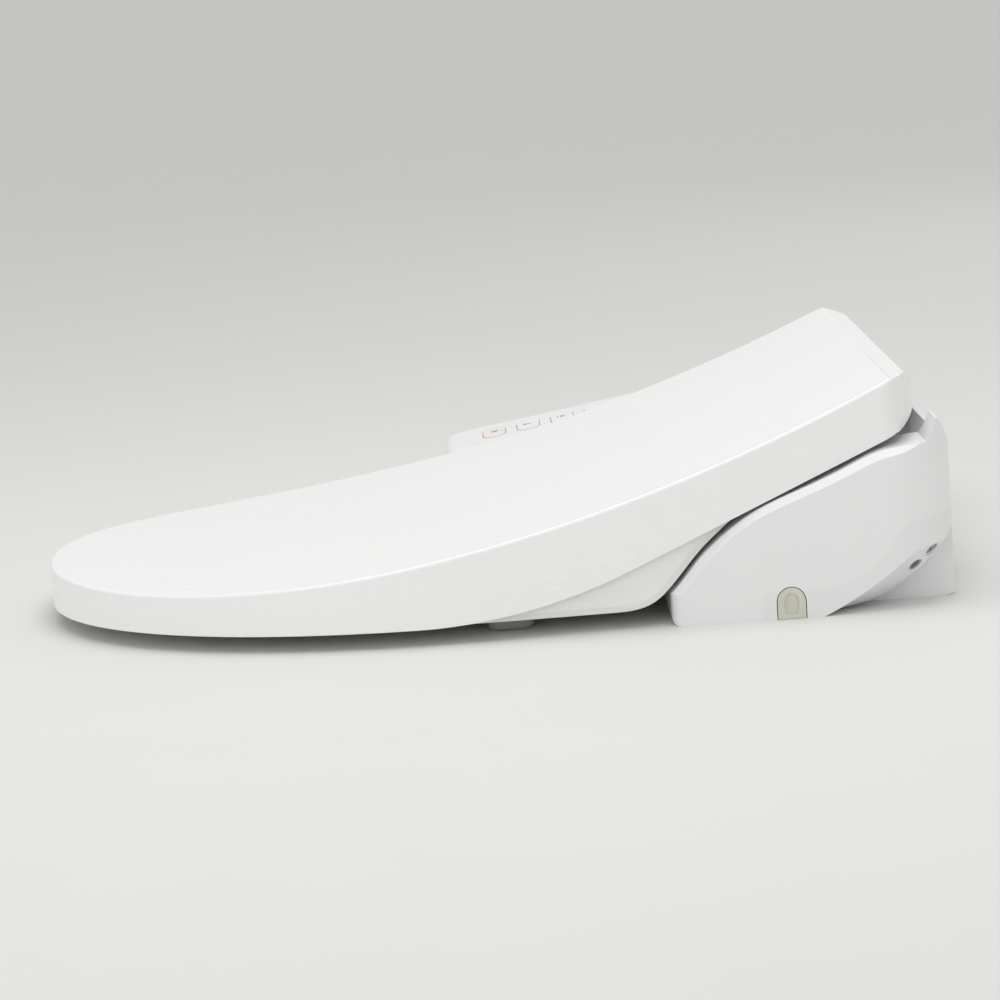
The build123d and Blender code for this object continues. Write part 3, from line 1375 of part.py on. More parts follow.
with BuildPart() as carbon_cartridge:
    with BuildSketch(Plane.XZ.offset(-at(488))) as cartridge_body:
        with Locations((CARTRIDGE[0], CARTRIDGE[1])):
            RectangleRounded(CARTRIDGE[2], CARTRIDGE[3], 1.6)
    extrude(amount=-(519.2 - 488))
    with BuildSketch(Plane.XZ.offset(-at(516))) as cartridge_slots:
        with Locations((CARTRIDGE[0], CARTRIDGE[1])):
            with GridLocations(1, 4, 1, 4):
                SlotOverall(30, 1.8)
    extrude(amount=-6, mode=Mode.SUBTRACT)
carbon_cartridge.part.label = "carbon_cartridge"
export_step(carbon_cartridge.part, "parts/carbon_cartridge.step")

with BuildPart() as deodoriser_fan:
    with BuildSketch(Plane.XZ.offset(-at(472))) as fan_hub:
        with Locations((CARTRIDGE[0], CARTRIDGE[1])):
            Circle(4.5)
    extrude(amount=-9)
    with BuildSketch(Plane.XZ.offset(-at(472))) as fan_blades:
        with Locations((CARTRIDGE[0], CARTRIDGE[1])):
            with PolarLocations(6.2, 7):
                Rectangle(7.6, 1.2)
    extrude(amount=-8)
deodoriser_fan.part.label = "deodoriser_fan"
export_step(deodoriser_fan.part, "parts/deodoriser_fan.step")


# ---------------------------------------------------------------- electrics and screws

with BuildPart() as power_board:
    with BuildSketch(Plane.XY.offset(24)) as board_outline:
        with Locations((140, at(422))):
            RectangleRounded(62, 66, 3)
    extrude(amount=1.6)
    with BuildSketch(Plane.XY.offset(25.6)) as relays:
        with Locations((122, at(406)), (122, at(432))):
            Rectangle(18, 14)
    extrude(amount=12)
    with BuildSketch(Plane.XY.offset(25.6)) as capacitors:
        with Locations((144, at(450)), (158, at(450))):
            Circle(5)
    extrude(amount=14)
    with BuildSketch(Plane.XY.offset(25.6)) as core:
        with Locations((152, at(424))):
            Rectangle(26, 22)
    extrude(amount=10)
    with BuildSketch(Plane.XY.offset(35.6)) as winding:
        with Locations((152, at(424))):
            RectangleRounded(18, 26, 3)
    extrude(amount=6)
power_board.part.label = "power_board"
export_step(power_board.part, "parts/power_board.step")

# Pan-head screws through the floor of the base.
with BuildPart() as case_screws:
    for screw_x, screw_at in ((160, 380), (-160, 380), (140, 470), (-140, 470)):
        with BuildSketch(Plane.XY.offset(FLOOR_TOP)) as screw_head:
            with Locations((screw_x, at(screw_at))):
                Circle(3.5)
        extrude(amount=2.2)
        with BuildSketch(Plane.XY.offset(FLOOR_TOP + 2.2)) as cross:
            with Locations((screw_x, at(screw_at))):
                Rectangle(4, 0.9)
                Rectangle(0.9, 4)
        extrude(amount=-1.2, mode=Mode.SUBTRACT)
case_screws.part.label = "case_screws"
export_step(case_screws.part, "parts/case_screws.step")
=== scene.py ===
import json
import math

import bmesh
import bpy
from mathutils import Matrix, Vector


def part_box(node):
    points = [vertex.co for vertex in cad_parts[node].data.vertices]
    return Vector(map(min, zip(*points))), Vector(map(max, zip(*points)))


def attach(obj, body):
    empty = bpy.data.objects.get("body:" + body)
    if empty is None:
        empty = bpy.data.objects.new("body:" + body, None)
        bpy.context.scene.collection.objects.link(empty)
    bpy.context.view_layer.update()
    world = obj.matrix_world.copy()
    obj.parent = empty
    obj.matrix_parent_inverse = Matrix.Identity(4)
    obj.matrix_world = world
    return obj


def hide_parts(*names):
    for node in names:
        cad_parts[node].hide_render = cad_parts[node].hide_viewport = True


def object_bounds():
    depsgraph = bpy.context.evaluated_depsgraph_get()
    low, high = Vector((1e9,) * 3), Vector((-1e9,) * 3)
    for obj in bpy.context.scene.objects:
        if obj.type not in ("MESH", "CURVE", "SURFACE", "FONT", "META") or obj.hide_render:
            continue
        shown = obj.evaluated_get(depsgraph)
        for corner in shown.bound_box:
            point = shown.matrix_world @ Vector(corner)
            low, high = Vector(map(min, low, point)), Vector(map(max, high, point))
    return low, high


# Electric bidet seat: finishes, printed marks, lamps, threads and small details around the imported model.
# Metres, +Z up, the seat's nose points to -Y and the control arm is on -X.

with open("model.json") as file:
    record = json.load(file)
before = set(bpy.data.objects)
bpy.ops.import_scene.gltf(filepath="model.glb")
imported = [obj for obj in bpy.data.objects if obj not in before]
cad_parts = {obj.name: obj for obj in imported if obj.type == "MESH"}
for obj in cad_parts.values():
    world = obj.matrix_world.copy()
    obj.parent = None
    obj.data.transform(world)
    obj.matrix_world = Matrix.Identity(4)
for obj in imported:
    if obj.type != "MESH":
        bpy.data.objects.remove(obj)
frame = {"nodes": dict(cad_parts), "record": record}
cad_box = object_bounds()
nodes = frame["nodes"]

ARM_SLOPE = math.radians(8.7)          # the arm's top face falls towards the nose by this angle
KEY_UP = Vector((0, -math.sin(ARM_SLOPE), math.cos(ARM_SLOPE)))
KEY_ALONG = Vector((0, math.cos(ARM_SLOPE), math.sin(ARM_SLOPE)))
MM = 0.001
WAVE_TURN = 6.2832                     # a wave texture's scale is counted in radians


def srgb(code):
    """Linear colour of an sRGB hex code."""
    values = [int(code[i:i + 2], 16) / 255 for i in (0, 2, 4)]
    return [v / 12.92 if v <= 0.04045 else ((v + 0.055) / 1.055) ** 2.4 for v in values] + [1.0]


def per_mm(size):
    """Texture scale on Object coordinates that gives a pattern this many millimetres across."""
    return 1000.0 / size


def add_node(tree, kind, settings=None, inputs=None):
    """Adds a node with its settings; an input is a value or another node's output socket."""
    node = tree.nodes.new(kind)
    for name, value in (settings or {}).items():
        setattr(node, name, value)
    for name, value in (inputs or {}).items():
        if isinstance(value, bpy.types.NodeSocket):
            tree.links.new(value, node.inputs[name])
        else:
            node.inputs[name].default_value = value
    return node


def start_material(name):
    """A new material with its shader, and Object coordinates to hang patterns on."""
    material = bpy.data.materials.new(name)
    material.use_nodes = True
    tree = material.node_tree
    tree.nodes.clear()
    shader = add_node(tree, "ShaderNodeBsdfPrincipled")
    add_node(tree, "ShaderNodeOutputMaterial", inputs={"Surface": shader.outputs["BSDF"]})
    place = add_node(tree, "ShaderNodeTexCoord").outputs["Object"]
    return material, tree, shader, place


def moulded(name, light, dark, ior, rough, peel_mm, peel, grain_mm, grain, coat=0.0, subsurface=0.0):
    """Injection-moulded plastic: a faint cloud in its colour, the mould's orange peel and grain, and wiped smears.

    The sizes of the peel and the grain are in millimetres, and peel and grain are the strengths of their bumps.
    """
    material, tree, shader, place = start_material(name)
    cloud = add_node(tree, "ShaderNodeTexNoise", inputs={"Vector": place, "Scale": per_mm(70), "Detail": 3.0})
    tint = add_node(tree, "ShaderNodeMix", {"data_type": "RGBA"}, {"Factor": cloud.outputs["Fac"]})
    tint.inputs[6].default_value = srgb(light)
    tint.inputs[7].default_value = srgb(dark)
    tree.links.new(tint.outputs[2], shader.inputs["Base Color"])
    stretch = add_node(tree, "ShaderNodeMapping", inputs={"Vector": place, "Scale": (1.0, 0.35, 1.0)})
    smear = add_node(tree, "ShaderNodeTexNoise",
                     inputs={"Vector": stretch.outputs["Vector"], "Scale": per_mm(28), "Detail": 5.0})
    polish = add_node(tree, "ShaderNodeMapRange",
                      inputs={"Value": smear.outputs["Fac"], "From Min": 0.3, "From Max": 0.75,
                              "To Min": rough * 0.92, "To Max": rough * 1.1})
    tree.links.new(polish.outputs["Result"], shader.inputs["Roughness"])
    waves = add_node(tree, "ShaderNodeTexNoise",
                     inputs={"Vector": place, "Scale": per_mm(peel_mm), "Detail": 1.0})
    peel_bump = add_node(tree, "ShaderNodeBump",
                         inputs={"Height": waves.outputs["Fac"], "Strength": peel, "Distance": 0.0004})
    sparks = add_node(tree, "ShaderNodeTexNoise",
                      inputs={"Vector": place, "Scale": per_mm(grain_mm), "Detail": 2.0})
    grain_bump = add_node(tree, "ShaderNodeBump",
                          inputs={"Height": sparks.outputs["Fac"], "Strength": grain, "Distance": 0.0001,
                                  "Normal": peel_bump.outputs["Normal"]})
    tree.links.new(grain_bump.outputs["Normal"], shader.inputs["Normal"])
    shader.inputs["IOR"].default_value = ior
    shader.inputs["Coat Weight"].default_value = coat
    shader.inputs["Coat Roughness"].default_value = 0.08
    shader.inputs["Subsurface Weight"].default_value = subsurface
    shader.inputs["Subsurface Radius"].default_value = (0.004, 0.0036, 0.003)
    return material


def metal(name, light, dark, rough, line_mm, stretch_along, scratch):
    """Bare or plated metal with the fine lines that drawing, turning or brushing leaves."""
    material, tree, shader, place = start_material(name)
    shader.inputs["Metallic"].default_value = 1.0
    lined = add_node(tree, "ShaderNodeMapping", inputs={"Vector": place, "Scale": stretch_along})
    lines = add_node(tree, "ShaderNodeTexNoise",
                     inputs={"Vector": lined.outputs["Vector"], "Scale": per_mm(line_mm), "Detail": 4.0})
    tint = add_node(tree, "ShaderNodeMix", {"data_type": "RGBA"}, {"Factor": lines.outputs["Fac"]})
    tint.inputs[6].default_value = srgb(light)
    tint.inputs[7].default_value = srgb(dark)
    tree.links.new(tint.outputs[2], shader.inputs["Base Color"])
    wear = add_node(tree, "ShaderNodeTexNoise", inputs={"Vector": place, "Scale": per_mm(6), "Detail": 4.0})
    polish = add_node(tree, "ShaderNodeMapRange",
                      inputs={"Value": wear.outputs["Fac"], "To Min": rough * 0.7, "To Max": rough * 1.4})
    tree.links.new(polish.outputs["Result"], shader.inputs["Roughness"])
    bump = add_node(tree, "ShaderNodeBump",
                    inputs={"Height": lines.outputs["Fac"], "Strength": scratch, "Distance": 0.00005})
    tree.links.new(bump.outputs["Normal"], shader.inputs["Normal"])
    return material


# ---------------------------------------------------------------- finishes

# Polypropylene out of a polished mould: white, glassy, with a slow waviness that bends reflections.
lid_gloss = moulded("polished_white_polypropylene", "F7F7F7", "F5F5F5", 1.49, 0.26, 11, 0.012, 0.5, 0.01,
                    coat=0.2, subsurface=0.06)
seat_gloss = moulded("polished_white_seat_polypropylene", "F5F5F4", "F3F3F1", 1.49, 0.27, 9, 0.015, 0.5, 0.012,
                     coat=0.2, subsurface=0.06)
# The seat's underside is the same plastic, from a mould that was only blasted; its colour, slightly darker than
# the top's, is painted shade of the underside.
seat_under = moulded("blasted_white_polypropylene_painted_shade", "EEEEEB", "E8E8E4", 1.49, 0.42, 5, 0.05, 0.45, 0.12)
# ABS housings: a shade greyer than the lid, with a soft shine.
cover_gloss = moulded("semi_gloss_white_abs", "F1F0F1", "EEEDEE", 1.53, 0.32, 9, 0.015, 0.4, 0.02, coat=0.1,
                      subsurface=0.04)
base_satin = moulded("satin_white_abs", "EEEDEE", "EAE9EA", 1.53, 0.38, 5, 0.06, 0.35, 0.07,
                     subsurface=0.03)
# Natural acetal: ivory and slippery, with a waxy glow.
natural_acetal = moulded("natural_acetal", "EDEBE1", "E2DFD2", 1.48, 0.34, 3, 0.06, 0.3, 0.05,
                         subsurface=0.15)
dark_acetal = moulded("black_acetal", "2A2A2C", "1F1F21", 1.48, 0.36, 3, 0.06, 0.3, 0.06)
white_acetal = moulded("turned_white_acetal", "F2F2EE", "EAEAE5", 1.48, 0.26, 3, 0.05, 0.3, 0.03,
                       subsurface=0.1)
# Glass-filled nylon: matt, with a mottle where the fibres reach the skin.
filled_nylon = moulded("glass_filled_white_nylon", "E4E4E0", "D6D6D1", 1.53, 0.55, 2.2, 0.18, 0.3, 0.25)
# The cord gland's grey is partly the nylon's own colour and partly painted shade of its recessed port.
port_nylon_painted_shade = moulded("grey_nylon_painted_port_shade", "B4B3B6", "A9A8AB", 1.53, 0.45, 2.5, 0.12, 0.3, 0.15)
# Thermoplastic elastomer: soft to look at, with no clear reflection.
elastomer = moulded("grey_elastomer", "A9ACAD", "9A9D9E", 1.50, 0.62, 2, 0.12, 0.3, 0.28)
pad_rubber = moulded("dark_grey_elastomer", "55585A", "47494B", 1.50, 0.68, 2, 0.12, 0.3, 0.3)
# The drain plug's grey is partly the rubber's own colour and partly painted shade of its recessed port.
plug_rubber_painted_shade = moulded("drain_plug_elastomer_painted_shade", "A3A2A5", "969598", 1.50, 0.6, 2, 0.12, 0.3, 0.25)
# Key caps: fine matt ABS, so that wet fingers leave no shine.
key_grey = moulded("matt_pale_grey_abs", "EDEFF2", "E8EBEF", 1.53, 0.40, 3, 0.05, 0.25, 0.16)
key_warm = moulded("matt_warm_white_abs", "F0E9E4", "ECE4DE", 1.53, 0.40, 3, 0.05, 0.25, 0.16)
dryer_black = moulded("heat_resistant_black_pbt", "3A3B3D", "303133", 1.55, 0.5, 2.5, 0.1, 0.3, 0.18)
impeller_nylon = moulded("black_nylon_impeller", "222325", "191A1B", 1.53, 0.42, 2, 0.08, 0.3, 0.1)
phenolic = moulded("brown_phenolic", "3B241A", "2C1A12", 1.6, 0.4, 1.5, 0.1, 0.2, 0.1)
valve_blue = moulded("blue_grey_pom_valve", "5B7590", "4D6680", 1.48, 0.36, 2, 0.08, 0.3, 0.08)
cartridge_grey = moulded("pale_grey_cartridge_abs", "C9CCCC", "BDC0C0", 1.53, 0.46, 3, 0.08, 0.35, 0.14)
disc_ceramic = moulded("lapped_alumina", "F2EFE6", "E8E4D8", 1.77, 0.12, 1.5, 0.03, 0.2, 0.02)
print_ink = moulded("grey_pad_print_ink", "7C8792", "737E88", 1.5, 0.5, 1.5, 0.1, 0.2, 0.12)
# Silicone and natural polypropylene pass some light, so they go milky.
silicone = moulded("milky_silicone", "DDDDD6", "D2D2CA", 1.41, 0.32, 2, 0.05, 0.3, 0.04, subsurface=0.5)
tank_plastic = moulded("natural_polypropylene", "E3E6E1", "D8DCD6", 1.49, 0.34, 4, 0.06, 0.4, 0.05,
                       subsurface=0.35)
# Plated and bare metals.
nickel = metal("nickel_plated_brass", "D6D4CE", "C2BFB8", 0.16, 0.6, (1.0, 8.0, 1.0), 0.15)
zinc = metal("zinc_plated_steel", "B9BAB8", "9FA19F", 0.34, 1.2, (1.0, 1.0, 1.0), 0.2)
stainless = metal("stainless_screw_steel", "BDBDBB", "A5A5A3", 0.28, 0.4, (1.0, 1.0, 5.0), 0.2)
spring_wire = metal("drawn_spring_wire", "A9A9A6", "8F8F8C", 0.26, 0.3, (6.0, 1.0, 1.0), 0.25)
heater_steel = metal("oxidised_heater_sheath", "8A857C", "6B655C", 0.45, 1.5, (1.0, 1.0, 4.0), 0.3)
ribbon = metal("resistance_ribbon", "8C8478", "6F675C", 0.38, 0.8, (4.0, 1.0, 1.0), 0.3)


def tinted_button():
    """Tinted translucent plastic: light goes in and comes back grey-green, paler at thin edges."""
    material, tree, shader, place = start_material("translucent_grey_green_abs")
    depth = add_node(tree, "ShaderNodeTexNoise", inputs={"Vector": place, "Scale": per_mm(9), "Detail": 2.0})
    tint = add_node(tree, "ShaderNodeMix", {"data_type": "RGBA"}, {"Factor": depth.outputs["Fac"]})
    tint.inputs[6].default_value = srgb("DDDDD0")
    tint.inputs[7].default_value = srgb("CDCEBF")
    tree.links.new(tint.outputs[2], shader.inputs["Base Color"])
    flow = add_node(tree, "ShaderNodeTexNoise", inputs={"Vector": place, "Scale": per_mm(3), "Detail": 2.0})
    bump = add_node(tree, "ShaderNodeBump",
                    inputs={"Height": flow.outputs["Fac"], "Strength": 0.06, "Distance": 0.0003})
    tree.links.new(bump.outputs["Normal"], shader.inputs["Normal"])
    shader.inputs["Roughness"].default_value = 0.22
    shader.inputs["IOR"].default_value = 1.53
    shader.inputs["Subsurface Weight"].default_value = 0.45
    shader.inputs["Subsurface Radius"].default_value = (0.003, 0.003, 0.002)
    shader.inputs["Coat Weight"].default_value = 0.3
    return material


def smoked_window():
    """Smoked acrylic: nearly black and glassy, with hairline scratches from wiping."""
    material, tree, shader, place = start_material("smoked_acrylic")
    wiped = add_node(tree, "ShaderNodeMapping", inputs={"Vector": place, "Scale": (1.0, 14.0, 1.0)})
    hairs = add_node(tree, "ShaderNodeTexNoise",
                     inputs={"Vector": wiped.outputs["Vector"], "Scale": per_mm(4), "Detail": 6.0})
    tint = add_node(tree, "ShaderNodeMix", {"data_type": "RGBA"}, {"Factor": hairs.outputs["Fac"]})
    tint.inputs[6].default_value = srgb("20262A")
    tint.inputs[7].default_value = srgb("171B1E")
    tree.links.new(tint.outputs[2], shader.inputs["Base Color"])
    polish = add_node(tree, "ShaderNodeMapRange",
                      inputs={"Value": hairs.outputs["Fac"], "To Min": 0.05, "To Max": 0.16})
    tree.links.new(polish.outputs["Result"], shader.inputs["Roughness"])
    shader.inputs["IOR"].default_value = 1.49
    return material


def circuit_board():
    """Green solder mask over copper tracks, which show as paler bands with a step at their edges."""
    material, tree, shader, place = start_material("green_solder_mask")
    tracks = add_node(tree, "ShaderNodeTexBrick", {"offset": 0.5},
                      {"Vector": place, "Scale": per_mm(16), "Mortar Size": 0.05, "Brick Width": 0.6,
                       "Row Height": 0.22, "Color1": srgb("1C5A36"), "Color2": srgb("184F30"),
                       "Mortar": srgb("2F7A4C")})
    tree.links.new(tracks.outputs["Color"], shader.inputs["Base Color"])
    step = add_node(tree, "ShaderNodeBump",
                    inputs={"Height": tracks.outputs["Fac"], "Strength": 0.3, "Distance": 0.00006})
    tree.links.new(step.outputs["Normal"], shader.inputs["Normal"])
    shader.inputs["Roughness"].default_value = 0.3
    shader.inputs["IOR"].default_value = 1.5
    return material


def heater_foil():
    """Aluminium foil with its heating wire showing as a ridge every 9 mm."""
    material, tree, shader, place = start_material("heating_foil")
    shader.inputs["Metallic"].default_value = 1.0
    rows = add_node(tree, "ShaderNodeTexWave", {"bands_direction": "Y"},
                    {"Vector": place, "Scale": per_mm(9) / WAVE_TURN, "Distortion": 1.5, "Detail": 1.0,
                     "Detail Scale": per_mm(60)})
    crinkle = add_node(tree, "ShaderNodeTexNoise", inputs={"Vector": place, "Scale": per_mm(5), "Detail": 5.0})
    tint = add_node(tree, "ShaderNodeMix", {"data_type": "RGBA"}, {"Factor": crinkle.outputs["Fac"]})
    tint.inputs[6].default_value = srgb("D5D6D8")
    tint.inputs[7].default_value = srgb("BCBEC1")
    tree.links.new(tint.outputs[2], shader.inputs["Base Color"])
    ridges = add_node(tree, "ShaderNodeBump",
                      inputs={"Height": rows.outputs["Fac"], "Strength": 0.5, "Distance": 0.0006})
    creases = add_node(tree, "ShaderNodeBump",
                       inputs={"Height": crinkle.outputs["Fac"], "Strength": 0.3, "Distance": 0.0004,
                               "Normal": ridges.outputs["Normal"]})
    tree.links.new(creases.outputs["Normal"], shader.inputs["Normal"])
    shader.inputs["Roughness"].default_value = 0.3
    return material


def woven_strainer():
    """Stainless wire cloth, 0.5 mm from wire to wire, with painted shade in the open gaps between the wires."""
    material, tree, shader, place = start_material("stainless_wire_cloth")
    shader.inputs["Metallic"].default_value = 1.0
    cloth = add_node(tree, "ShaderNodeMath", {"operation": "MAXIMUM"})
    for slot_index, direction in enumerate("YX"):
        wires = add_node(tree, "ShaderNodeTexWave", {"bands_direction": direction},
                         {"Vector": place, "Scale": per_mm(0.5) / WAVE_TURN})
        tree.links.new(wires.outputs["Fac"], cloth.inputs[slot_index])
    # The dark colour between the wires is painted shade standing in for the open gaps of the cloth.
    tint = add_node(tree, "ShaderNodeMix", {"data_type": "RGBA"}, {"Factor": cloth.outputs["Value"]})
    tint.inputs[6].default_value = srgb("3A3A39")
    tint.inputs[7].default_value = srgb("B4B4B1")
    tree.links.new(tint.outputs[2], shader.inputs["Base Color"])
    bump = add_node(tree, "ShaderNodeBump",
                    inputs={"Height": cloth.outputs["Value"], "Strength": 0.6, "Distance": 0.0002})
    tree.links.new(bump.outputs["Normal"], shader.inputs["Normal"])
    shader.inputs["Roughness"].default_value = 0.3
    return material


def lit_lamp():
    """Green lamp lens, faintly lit from behind, with a fine random mottle in its tint."""
    material, tree, shader, place = start_material("green_lamp_lens")
    glow = add_node(tree, "ShaderNodeTexNoise", inputs={"Vector": place, "Scale": per_mm(1.2), "Detail": 1.0})
    tint = add_node(tree, "ShaderNodeMix", {"data_type": "RGBA"}, {"Factor": glow.outputs["Fac"]})
    tint.inputs[6].default_value = srgb("8FD6A0")
    tint.inputs[7].default_value = srgb("6FBF86")
    tree.links.new(tint.outputs[2], shader.inputs["Base Color"])
    shader.inputs["Emission Color"].default_value = srgb("7FE09A")
    shader.inputs["Emission Strength"].default_value = 0.35
    shader.inputs["Roughness"].default_value = 0.2
    return material


lamp_green = lit_lamp()
button_plastic = tinted_button()
window_smoke = smoked_window()
board_green = circuit_board()
foil = heater_foil()
strainer_mesh = woven_strainer()

# The material for each finish slot of the record.
FINISHES = {
    "lid_gloss": lid_gloss, "seat_gloss": seat_gloss, "seat_under": seat_under, "bumper_rubber": elastomer,
    "heater_foil": foil, "sensor_plastic": dark_acetal, "cover_gloss": cover_gloss, "base_satin": base_satin,
    "damper_body": dark_acetal, "shaft_plastic": natural_acetal, "button_plastic": button_plastic,
    "spring_steel": spring_wire, "plate_plastic": filled_nylon, "pad_rubber": pad_rubber,
    "gland_plastic": port_nylon_painted_shade, "plug_plastic": plug_rubber_painted_shade, "arm_gloss": cover_gloss, "arm_under": base_satin,
    "key_warm": key_warm, "key_grey": key_grey, "window_smoke": window_smoke, "board_green": board_green,
    "nozzle_plastic": white_acetal, "nozzle_tip": key_grey, "gear_plastic": natural_acetal, "motor_steel": zinc,
    "cradle_plastic": base_satin, "tank_plastic": tank_plastic, "heater_steel": heater_steel,
    "cutout_phenolic": phenolic, "inlet_chrome": nickel, "strainer_mesh": strainer_mesh,
    "valve_plastic": valve_blue, "selector_plastic": cartridge_grey, "disc_ceramic": disc_ceramic,
    "hose_silicone": silicone, "dryer_plastic": dryer_black, "wheel_plastic": impeller_nylon,
    "heater_ribbon": ribbon, "flap_gloss": cover_gloss, "deodoriser_plastic": base_satin,
    "cartridge_grey": cartridge_grey, "screw_steel": stainless,
}
for entry in frame["record"]["subparts"]:
    mesh = nodes[entry["node"]].data
    mesh.materials.clear()
    mesh.materials.append(FINISHES[entry["material_slot"]])


# ---------------------------------------------------------------- printed marks on the keys

PRINT_THICKNESS = 0.00006              # half the ink's thickness, drawn thick enough to show
LINE = 0.55                            # width of a printed line, in millimetres
LINE_OVERRUN = 0.3                     # how far a line runs past its points, as a share of its own width


def finish_piece(name, mesh, material, body):
    """Makes a mesh a piece of the object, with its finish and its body."""
    piece = bpy.data.objects.new(name, mesh)
    bpy.context.collection.objects.link(piece)
    mesh.materials.clear()
    mesh.materials.append(material)
    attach(piece, body)
    return piece


def ring_points(radius, start, end, steps, middle=(0.0, 0.0)):
    """Points on an arc, in millimetres, from one angle in degrees to another."""
    turns = [math.radians(start + (end - start) * i / steps) for i in range(steps + 1)]
    return [(middle[0] + radius * math.cos(t), middle[1] + radius * math.sin(t)) for t in turns]


def stroke(points, width, closed=False):
    """Outline of a line of this width along the points, as a list of quads."""
    ring = points + [points[0]] if closed else points
    quads = []
    for (ax, ay), (bx, by) in zip(ring, ring[1:]):
        size = math.hypot(bx - ax, by - ay)
        ux, uy = (bx - ax) / size, (by - ay) / size
        nx, ny = -uy * width / 2, ux * width / 2
        ex, ey = ux * width * LINE_OVERRUN, uy * width * LINE_OVERRUN
        quads.append([(ax - ex + nx, ay - ey + ny), (ax - ex - nx, ay - ey - ny),
                      (bx + ex - nx, by + ey - ny), (bx + ex + nx, by + ey + ny)])
    return quads


def wave(y_from, y_to, x_middle, swing, steps=12):
    """Upright wavy line, for warm air and warmth."""
    heights = [y_from + (y_to - y_from) * i / steps for i in range(steps + 1)]
    return [(x_middle + swing * math.sin((y - y_from) / (y_to - y_from) * 2 * math.pi), y) for y in heights]


def drop(middle_x, middle_y, size):
    """Closed outline of a water drop with its point upwards."""
    round_part = ring_points(size, 200, 340, 10, (middle_x, middle_y))
    return round_part + [(middle_x + size * 0.55, middle_y + size * 0.75), (middle_x, middle_y + size * 2.0),
                         (middle_x - size * 0.55, middle_y + size * 0.75)]


# Each symbol is a list of strokes, in millimetres from the middle of its key.
SYMBOLS = {
    "stop": [[[(-2.1, -2.1), (2.1, -2.1), (2.1, 2.1), (-2.1, 2.1)]]],
    "rear_wash": [stroke(drop(0, -0.6, 1.2), LINE, True),
                  stroke(ring_points(3.6, 215, 325, 12, (0, 0.4)), LINE)],
    "front_wash": [stroke(drop(-1.5, -0.2, 0.9), LINE, True), stroke(drop(1.5, -0.2, 0.9), LINE, True),
                   stroke([(-3, -3), (3, -3)], LINE)],
    "dry": [stroke(wave(-2.6, 2.6, x, 0.7), LINE) for x in (-2.4, 0, 2.4)],
    "weaker": [stroke([(-1.9, 0), (1.9, 0)], 0.7)],
    "stronger": [stroke([(-1.9, 0), (1.9, 0)], 0.7), stroke([(0, -1.9), (0, 1.9)], 0.7)],
    "warmth": [stroke(wave(-1.4, 2.4, x, 0.5), 0.5) for x in (-1.4, 1.4)]
              + [stroke([(-2.6, -2.4), (2.6, -2.4)], 0.6)],
    "power": [stroke(ring_points(2.1, 125, 415, 18), LINE), stroke([(0, 0.4), (0, 2.9)], LINE)],
}


def face_middle(node, normal):
    """Middle of a node's outermost face along this normal."""
    low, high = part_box(node)
    far = max(v.co.dot(normal) for v in nodes[node].data.vertices)
    centre = (low + high) / 2
    return centre + normal * (far - centre.dot(normal))


for key_name, parts in SYMBOLS.items():
    key_top = face_middle("key_" + key_name, KEY_UP)
    mark = bmesh.new()
    for quads in parts:
        for quad in quads:
            flat = [key_top + Vector((x * MM, 0, 0)) + KEY_ALONG * (y * MM) for x, y in quad]
            lower = [mark.verts.new(p - KEY_UP * PRINT_THICKNESS) for p in flat]
            upper = [mark.verts.new(p + KEY_UP * PRINT_THICKNESS) for p in flat]
            mark.faces.new(upper)
            mark.faces.new(list(reversed(lower)))
            for i in range(len(flat)):
                j = (i + 1) % len(flat)
                mark.faces.new((lower[i], lower[j], upper[j], upper[i]))
    bmesh.ops.recalc_face_normals(mark, faces=mark.faces)
    mesh = bpy.data.meshes.new("mark_" + key_name)
    mark.to_mesh(mesh)
    mark.free()
    finish_piece("mark_" + key_name, mesh, print_ink, "key_" + key_name)


# ---------------------------------------------------------------- repeated details, by Geometry Nodes

def repeated(name, count, pitch, start, size, turn, material):
    """A row of small rounded blocks, as a plain mesh: start is the first one's place, pitch the step vector."""
    tree = bpy.data.node_groups.new(name, "GeometryNodeTree")
    tree.interface.new_socket("Geometry", in_out="OUTPUT", socket_type="NodeSocketGeometry")
    sockets = {}
    for label, kind, value in (("Count", "NodeSocketInt", count), ("Start", "NodeSocketVector", start),
                               ("Pitch", "NodeSocketVector", pitch), ("Size", "NodeSocketVector", size)):
        socket = tree.interface.new_socket(label, in_out="INPUT", socket_type=kind)
        sockets[label] = (socket.identifier, value)
    given = add_node(tree, "NodeGroupInput").outputs
    line = add_node(tree, "GeometryNodeMeshLine", {"mode": "OFFSET"},
                    {"Count": given["Count"], "Start Location": given["Start"], "Offset": given["Pitch"]})
    block = add_node(tree, "GeometryNodeMeshCube", None,
                     {"Size": given["Size"], "Vertices X": 3, "Vertices Y": 3, "Vertices Z": 3})
    soft = add_node(tree, "GeometryNodeSubdivisionSurface", None,
                    {"Mesh": block.outputs["Mesh"], "Level": 2, "Edge Crease": 0.55})
    placed = add_node(tree, "GeometryNodeInstanceOnPoints", None,
                      {"Points": line.outputs["Mesh"], "Instance": soft.outputs["Mesh"], "Rotation": turn})
    real = add_node(tree, "GeometryNodeRealizeInstances", None, {"Geometry": placed.outputs["Instances"]})
    coated = add_node(tree, "GeometryNodeSetMaterial", None,
                      {"Geometry": real.outputs["Geometry"], "Material": material})
    add_node(tree, "NodeGroupOutput", None, {"Geometry": coated.outputs["Geometry"]})
    seed_mesh = bpy.data.meshes.new(name + "_seed")
    seed = bpy.data.objects.new(name + "_seed", seed_mesh)
    bpy.context.collection.objects.link(seed)
    modifier = seed.modifiers.new("row", "NODES")
    modifier.node_group = tree
    for identifier, value in sockets.values():
        modifier[identifier] = value
    bpy.context.view_layer.update()
    evaluated = seed.evaluated_get(bpy.context.evaluated_depsgraph_get())
    mesh = bpy.data.meshes.new_from_object(evaluated)
    seed.modifiers.clear()
    bpy.data.objects.remove(seed)
    return mesh


